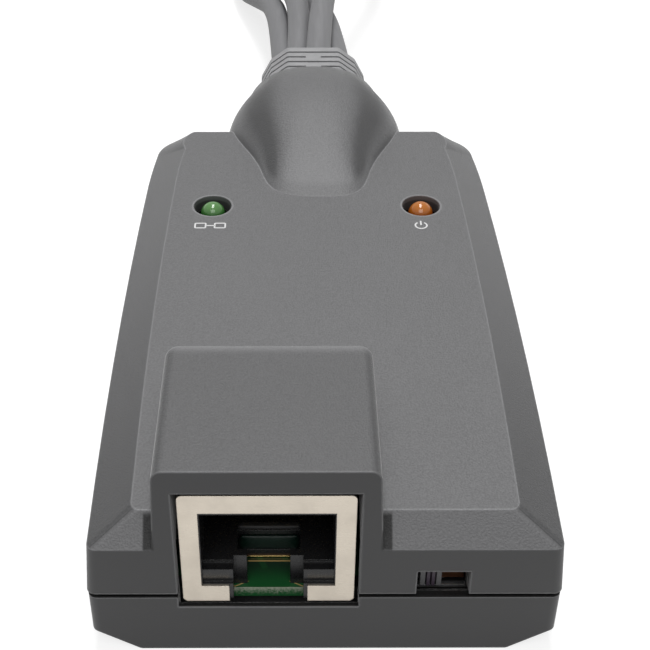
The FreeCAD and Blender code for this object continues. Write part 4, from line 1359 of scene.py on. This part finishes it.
@dataclass
class LampMarks:
    """Small printed signs in front of the lamps: two joined boxes, and a broken ring with a bar.

    Sizes are in millimetres from the sign's middle, and the ring's span is in degrees.
    """

    top: float = 16.05
    along: float = 48.9
    stroke: float = 0.2
    thick: float = 0.03
    box: Point = (0.62, 0.5, 0.12)
    box_x: float = 1.15
    joint: float = 0.5
    ring: float = 0.68
    ring_span: Span = (125.0, 415.0)
    bar: Span = (0.05, 0.95)

    def strokes(self, mark: Mark) -> list[np.ndarray]:
        """A sign's lines.

        Args:
            mark: The sign.

        Returns:
            The lines' points in millimetres across and along.
        """
        if mark is Mark.LINK:
            box = soft_box(*self.box, 3)
            closed = np.concatenate([box, box[:1]])
            joint = np.array([(x, 0.0) for x in (-self.joint, 0.0, self.joint)])
            lines = [closed - (self.box_x, 0.0), closed + (self.box_x, 0.0), joint]
        else:
            angle = np.radians(np.linspace(*self.ring_span, 28))
            bar = np.array([(0.0, y) for y in np.linspace(*self.bar, 3)])
            lines = [self.ring * np.stack([np.cos(angle), np.sin(angle)], axis=1), bar]
        return [line + (mark.value, self.along) for line in lines]

    def build(self, palette: Palette) -> None:
        """Print both signs, each line as a flat section carried along it.

        Args:
            palette: Where the materials come from.
        """
        section = soft_box(self.stroke / 2, self.thick / 2, self.thick / 3, 2)
        for mark in Mark:
            surface = Surface()
            for line in self.strokes(mark):
                level = np.full((len(line), 1), self.top + self.thick / 2)
                surface.shell(carried(np.concatenate([line, level], axis=1), section, (0, 0, 1)))
            surface.finish(f"{mark.name.lower()}_mark", palette, "case_plastic", "printed_mark")


@dataclass
class ScrewHeads:
    """The cross recesses in the heads of the two case screws, seen from below."""

    places: Sequence[Span] = ((-14.6, 64.5), (14.6, 64.5))
    radius: float = 1.95
    face: float = 1.3
    bulge: float = 0.28
    rim: float = 0.25
    arm: float = 0.28
    reach: float = 1.15
    depth: float = 0.8
    soft: Span = (0.1, 0.12)

    def head(self, x: float, y: float) -> np.ndarray:
        """A pan head's underside with its cross.

        On a grid of radius and angle, the face bulges by a parabola of the radius. Where the point
        is nearer to either arm's middle line than the arm's half width, and within its reach, it is
        sunk by the depth with a soft edge.

        Args:
            x: The head's place across.
            y: Its place along.

        Returns:
            The grid, from the middle out and round the rim.
        """
        inner, outer = np.linspace(0.04, self.reach, 16), np.linspace(1.25, self.radius, 8)
        radius = np.concatenate([inner, outer])[:, None]
        angle = np.linspace(0.0, math.tau, 96, endpoint=False)
        u, v = radius * np.cos(angle), radius * np.sin(angle)
        in_arm = np.clip((self.arm - np.minimum(abs(u), abs(v))) / self.soft[0], 0.0, 1.0)
        in_reach = np.clip((self.reach - radius) / self.soft[1], 0.0, 1.0)
        bulge = self.bulge * (1 - (radius / self.radius) ** 2)
        face = np.stack([x + u, y + v, self.face - bulge + self.depth * in_arm * in_reach], axis=-1)
        rim = face[-1:].copy()
        rim[..., 2] = self.face + self.rim
        return np.concatenate([face, rim])

    def build(self, palette: Palette) -> None:
        """Make both heads' faces as one piece.

        Args:
            palette: Where the materials come from.
        """
        surface = Surface()
        for x, y in self.places:
            surface.shell(self.head(x, y))
        surface.finish("screw_faces", palette, "screw_steel")


@dataclass(frozen=True)
class Slab:
    """A bar across the socket: half its length, its front and back, and its underside and top."""

    name: str
    slot: str
    look: str
    half: float
    along: Span
    up: Span

    def grid(self, middle: float) -> np.ndarray:
        """The bar with rounded long edges and drawn-in ends.

        The section is a rounded rectangle. At distance x from the bar's middle it is scaled by
        (1 - (x / half)^16)^(1/4), so that it keeps its size until just before the ends.

        Args:
            middle: The bar's middle, across.

        Returns:
            The grid in millimetres.
        """
        share = np.linspace(-1.0, 1.0, 33)
        scale = (1.0 - np.clip(abs(share), 0.0, 0.998) ** 16) ** 0.25
        deep, high = (self.along[1] - self.along[0]) / 2, (self.up[1] - self.up[0]) / 2
        ring = soft_box(deep, high, min(deep, high) * 0.35)
        y = self.along[0] + deep + scale[:, None] * ring[:, 0]
        z = self.up[0] + high + scale[:, None] * ring[:, 1]
        return np.stack([np.broadcast_to(middle + self.half * share[:, None], y.shape), y, z], axis=-1)


@dataclass
class SocketInsert:
    """The parts at the back of the socket's mouth: a sill with its gilt edge, a panel and a bar."""

    middle: float = -5.15
    slabs: Sequence[Slab] = (
        Slab("socket_sill", "black_moulding", "sill_brown", 2.96, (5.75, 6.35), (6.36, 7.21)),
        Slab("socket_edge", "gilt", "gilt", 2.1, (5.69, 5.85), (6.38, 6.52)),
        Slab("socket_panel", "black_moulding", "panel_green", 2.86, (5.85, 6.25), (7.21, 9.01)),
        Slab("socket_bar", "chip_black", "chip_black", 2.96, (5.85, 6.45), (9.7, 10.4)),
    )

    def build(self, palette: Palette) -> None:
        """Make the sill, its gilt edge, the panel and the bar.

        Args:
            palette: Where the materials come from.
        """
        for slab in self.slabs:
            surface = Surface().shell(slab.grid(self.middle))
            surface.finish(slab.name, palette, slab.slot, slab.look)


@dataclass(frozen=True)
class Sleeve:
    """A sleeve with ripples round it, in millimetres from its plug's back."""

    start: float
    length: float
    radius: float
    ripple: float
    count: int = 1
    wall: float = 0.4
    proud: float = 0.02

    def profile(self) -> np.ndarray:
        """The sleeve's profile: its radius grows and falls by ripple times sin(count pi t) squared.

        Returns:
            Distance along and radius, round the sleeve's wall.
        """
        t = np.linspace(0.0, 1.0, 8 * self.count + 1)
        wave = self.ripple * np.sin(self.count * math.pi * t) ** 2
        outer = np.stack([self.start + self.length * t, self.radius + self.proud + wave], axis=1)
        return np.concatenate([outer, outer[[-1, 0]] - (0.0, self.wall)])


@dataclass
class PlugDetails:
    """Grips, insulating rings and knurls on the plugs.

    Sizes are in millimetres. Places along are from the plugs' back, and the flat plug's bars have
    half their length, their half depth and how far they stand up.
    """

    back: float = 247.82
    audio: Sequence[tuple[str, str, float]] = (
        ("audio_mic", "mic_moulding", 8.3),
        ("audio_out", "out_moulding", 17.5),
    )
    audio_z: float = 12.25
    grips: Sequence[Sleeve] = (Sleeve(3.0, 11.0, 4.25, 0.22, count=7),)
    rings: Sequence[Sleeve] = (Sleeve(25.6, 0.8, 1.75, 0.03), Sleeve(29.2, 0.8, 1.75, 0.03))
    usb: Span = (12.9, 8.0)
    bar: Point = (5.2, 0.45, 0.3)
    bar_sunk: float = 0.05
    bar_places: Sequence[float] = (4.0, 5.7, 7.4, 9.1, 10.8, 12.5)
    screws_x: Span = (-25.3, -0.3)
    screws_z: float = 7.7
    screw: float = 2.92
    knurl: float = 0.09
    knurls: int = 30
    knurl_places: Sequence[float] = (7.9, 8.3, 12.1, 12.5)
    knurl_wall: float = 0.9

    def sleeved(
        self, palette: Palette, name: str, slot: str, x: float, sleeves: Sequence[Sleeve]
    ) -> bpy.types.Object:
        """Make a piece of sleeves round an audio plug.

        Args:
            palette: Where the materials come from.
            name: The piece's name.
            slot: The record's slot.
            x: The plug's place across.
            sleeves: The sleeves.

        Returns:
            The piece.
        """
        surface = Surface()
        for sleeve in sleeves:
            surface.shell(turned(sleeve.profile(), (x, self.back, self.audio_z)), ring=True)
        return surface.finish(name, palette, slot)

    def usb_grip(self, palette: Palette) -> bpy.types.Object:
        """Make the low bars across the flat plug's top.

        Along each bar the section is an ellipse, scaled by (1 - t^6)^(1/2) towards the bar's ends.

        Args:
            palette: Where the materials come from.

        Returns:
            The piece.
        """
        surface = Surface()
        t = np.linspace(-0.995, 0.995, 25)[:, None]
        scale = np.sqrt(1 - t**6)
        angle = np.linspace(0.0, math.tau, 16, endpoint=False)
        half_long, half_deep, high = self.bar
        for place in self.bar_places:
            y = self.back + place + half_deep * scale * np.cos(angle)
            z = self.usb[1] - self.bar_sunk + high * scale * np.sin(angle)
            x = np.broadcast_to(self.usb[0] + half_long * t, y.shape)
            surface.shell(np.stack([x, y, z], axis=-1))
        return surface.finish("usb_grip", palette, "plug_moulding")

    def screw_knurls(self, palette: Palette) -> bpy.types.Object:
        """Make the straight knurls round the thumbscrews' heads.

        The radius is the head's plus the knurl's height times (1 + cos(knurls angle)) / 2.

        Args:
            palette: Where the materials come from.

        Returns:
            The piece.
        """
        surface = Surface()
        angle = np.linspace(0.0, math.tau, 180, endpoint=False)
        swell = np.array([0.0, self.knurl, self.knurl, 0.0])[:, None]
        radius = self.screw + swell * (1 + np.cos(self.knurls * angle)) / 2
        y = np.broadcast_to(self.back + np.array(self.knurl_places)[:, None], radius.shape)
        for middle in self.screws_x:
            x, z = middle + radius * np.cos(angle), self.screws_z + radius * np.sin(angle)
            outer = np.stack([x, y, z], axis=-1)
            centre = np.array((middle, 0.0, self.screws_z))
            inner = centre + (outer[[-1, 0]] - centre) * (self.knurl_wall, 1.0, self.knurl_wall)
            surface.shell(np.concatenate([outer, inner]), ring=True)
        return surface.finish("screw_knurls", palette, "plug_moulding")

    def build(self, palette: Palette) -> dict[str, list[bpy.types.Object]]:
        """Make every plug's details.

        Args:
            palette: Where the materials come from.

        Returns:
            The pieces by the name of the lead they are on.
        """
        on_leads: dict[str, list[bpy.types.Object]] = {}
        for lead, slot, x in self.audio:
            on_leads[lead] = [self.sleeved(palette, f"{lead}_grip", slot, x, self.grips)]
        for lead, _, x in self.audio:
            rings = self.sleeved(palette, f"{lead}_rings", "black_moulding", x, self.rings)
            on_leads[lead].append(rings)
        on_leads["usb"] = [self.usb_grip(palette)]
        on_leads["video"] = [self.screw_knurls(palette)]
        return on_leads


# ---------------------------------------------------------------- studio
@dataclass(frozen=True)
class SoftLight:
    """A rectangular light: its places in metres, its width and length, and its power in watts."""

    name: str
    place: Point
    size: Span
    power: float
    target: Point = (0.0, 0.0, 0.0)

    def hang(self) -> None:
        """Hang the light in its place and turn it to its target."""
        data = bpy.data.lights.new(self.name, "AREA")
        data.shape, data.energy = "RECTANGLE", self.power
        data.size, data.size_y = self.size
        light = add_object(self.name, data)
        light.location = self.place
        ahead = Vector(self.target) - Vector(self.place)
        light.rotation_euler = ahead.to_track_quat("-Z", "Y").to_euler()


@dataclass
class Studio:
    """The floor, the lights and the camera.

    The camera's place is in millimetres from the front face, its angles in degrees. The greys are
    the floor's, under the matte light and as it is shown. Levels say how strong the surround is.
    """

    camera: Point = (-2.83, -79.78, 99.23)
    pitch: float = 37.22
    yaw: float = -0.125
    lens: float = 72.0
    shift: Span = (0.0451, -0.00115)
    fill: float = 0.24
    mirrored: float = 0.6
    floor_reach: float = 3.0
    floor_drop: float = 2e-5
    floor_greys: Span = (0.34, 0.4)
    floor_glow: float = 0.76
    floor_mirrored: float = 0.8
    lights: Sequence[SoftLight] = (
        SoftLight("overhead", (0.0, 0.26, 0.74), (0.2, 0.6), 4.0),
        SoftLight("front_fill", (0.0, -0.4, 0.66), (0.5, 0.4), 1.7),
        SoftLight("rim", (-0.6, 0.72, 0.13), (0.5, 0.5), 0.3, target=(0.0, 0.03, 0.01)),
        SoftLight("rim", (0.6, 0.72, 0.13), (0.5, 0.5), 0.3, target=(0.0, 0.03, 0.01)),
    )

    def place_camera(self) -> None:
        """Stand the camera above and in front of the socket."""
        data = bpy.data.cameras.new("camera")
        data.sensor_width, data.lens = 36.0, self.lens
        data.shift_x, data.shift_y = self.shift
        data.clip_start = 0.01
        camera = add_object("camera", data)
        camera.location = placed(self.camera)
        camera.rotation_euler = (math.radians(90 - self.pitch), 0.0, math.radians(self.yaw))
        bpy.context.scene.camera = camera

    def light_world(self) -> None:
        """Surround it all with white: dim for matte surfaces, brighter in glossy ones."""
        g = Graph.for_world("surround")
        bpy.context.scene.world = g.owner
        rays = g.node("ShaderNodeLightPath").outputs
        look = g.signal("ShaderNodeBackground", None, {"Color": WHITE, "Strength": self.fill})
        for ray, strength in (("Is Glossy Ray", self.mirrored), ("Is Camera Ray", 1.0)):
            shown = g.signal("ShaderNodeBackground", None, {"Color": WHITE, "Strength": strength})
            look = g.signal("ShaderNodeMixShader", None, {0: Signal(g, rays[ray]), 1: look, 2: shown})
        g.close(look)

    def floor_material(self) -> bpy.types.Material:
        """Make the floor's material: grey for the light it gives back, pale to the camera.

        Returns:
            The material.
        """
        g = Graph.for_material("floor")
        rays = g.node("ShaderNodeLightPath").outputs
        straight, glossy = Signal(g, rays["Is Camera Ray"]), Signal(g, rays["Is Glossy Ray"])
        colours = [{"Color": shade(WHITE, grey)} for grey in self.floor_greys]
        plain, shadowed = (g.signal("ShaderNodeBsdfDiffuse", None, colour) for colour in colours)
        glow = g.signal("ShaderNodeEmission", None, {"Color": WHITE, "Strength": self.floor_glow})
        pale = g.signal("ShaderNodeAddShader", None, {0: shadowed, 1: glow})
        shown = straight.at_least(glossy * self.floor_mirrored)
        return g.close(g.signal("ShaderNodeMixShader", None, {0: shown, 1: plain, 2: pale}))

    def lay_floor(self) -> None:
        """Lay a plain pale floor that keeps the object's shadow."""
        reach, level = self.floor_reach, -self.floor_drop
        mesh = bpy.data.meshes.new("floor")
        corners = [(x * reach, y * reach, level) for x, y in ((-1, -1), (1, -1), (1, 1), (-1, 1))]
        mesh.from_pydata(corners, [], [(0, 1, 2, 3)])
        mesh.materials.append(self.floor_material())
        add_object("floor", mesh)

    def build(self) -> None:
        """Set up the whole studio."""
        bpy.context.scene.view_settings.view_transform = "Standard"
        self.place_camera()
        self.light_world()
        self.lay_floor()
        for light in self.lights:
            light.hang()
        log.info("studio ready")


def main() -> None:
    """Dress the module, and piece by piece."""
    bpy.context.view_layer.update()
    palette = Palette()
    palette.dress_nodes()
    Studio().build()
    leads = LeadSet()
    leads.build(palette, PlugDetails().build(palette))
    TieStrap(leads.hank).build(palette)
    LampMarks().build(palette)
    ScrewHeads().build(palette)
    SocketInsert().build(palette)


if __name__ == "__main__":
    logging.basicConfig(level=logging.INFO)
    main()
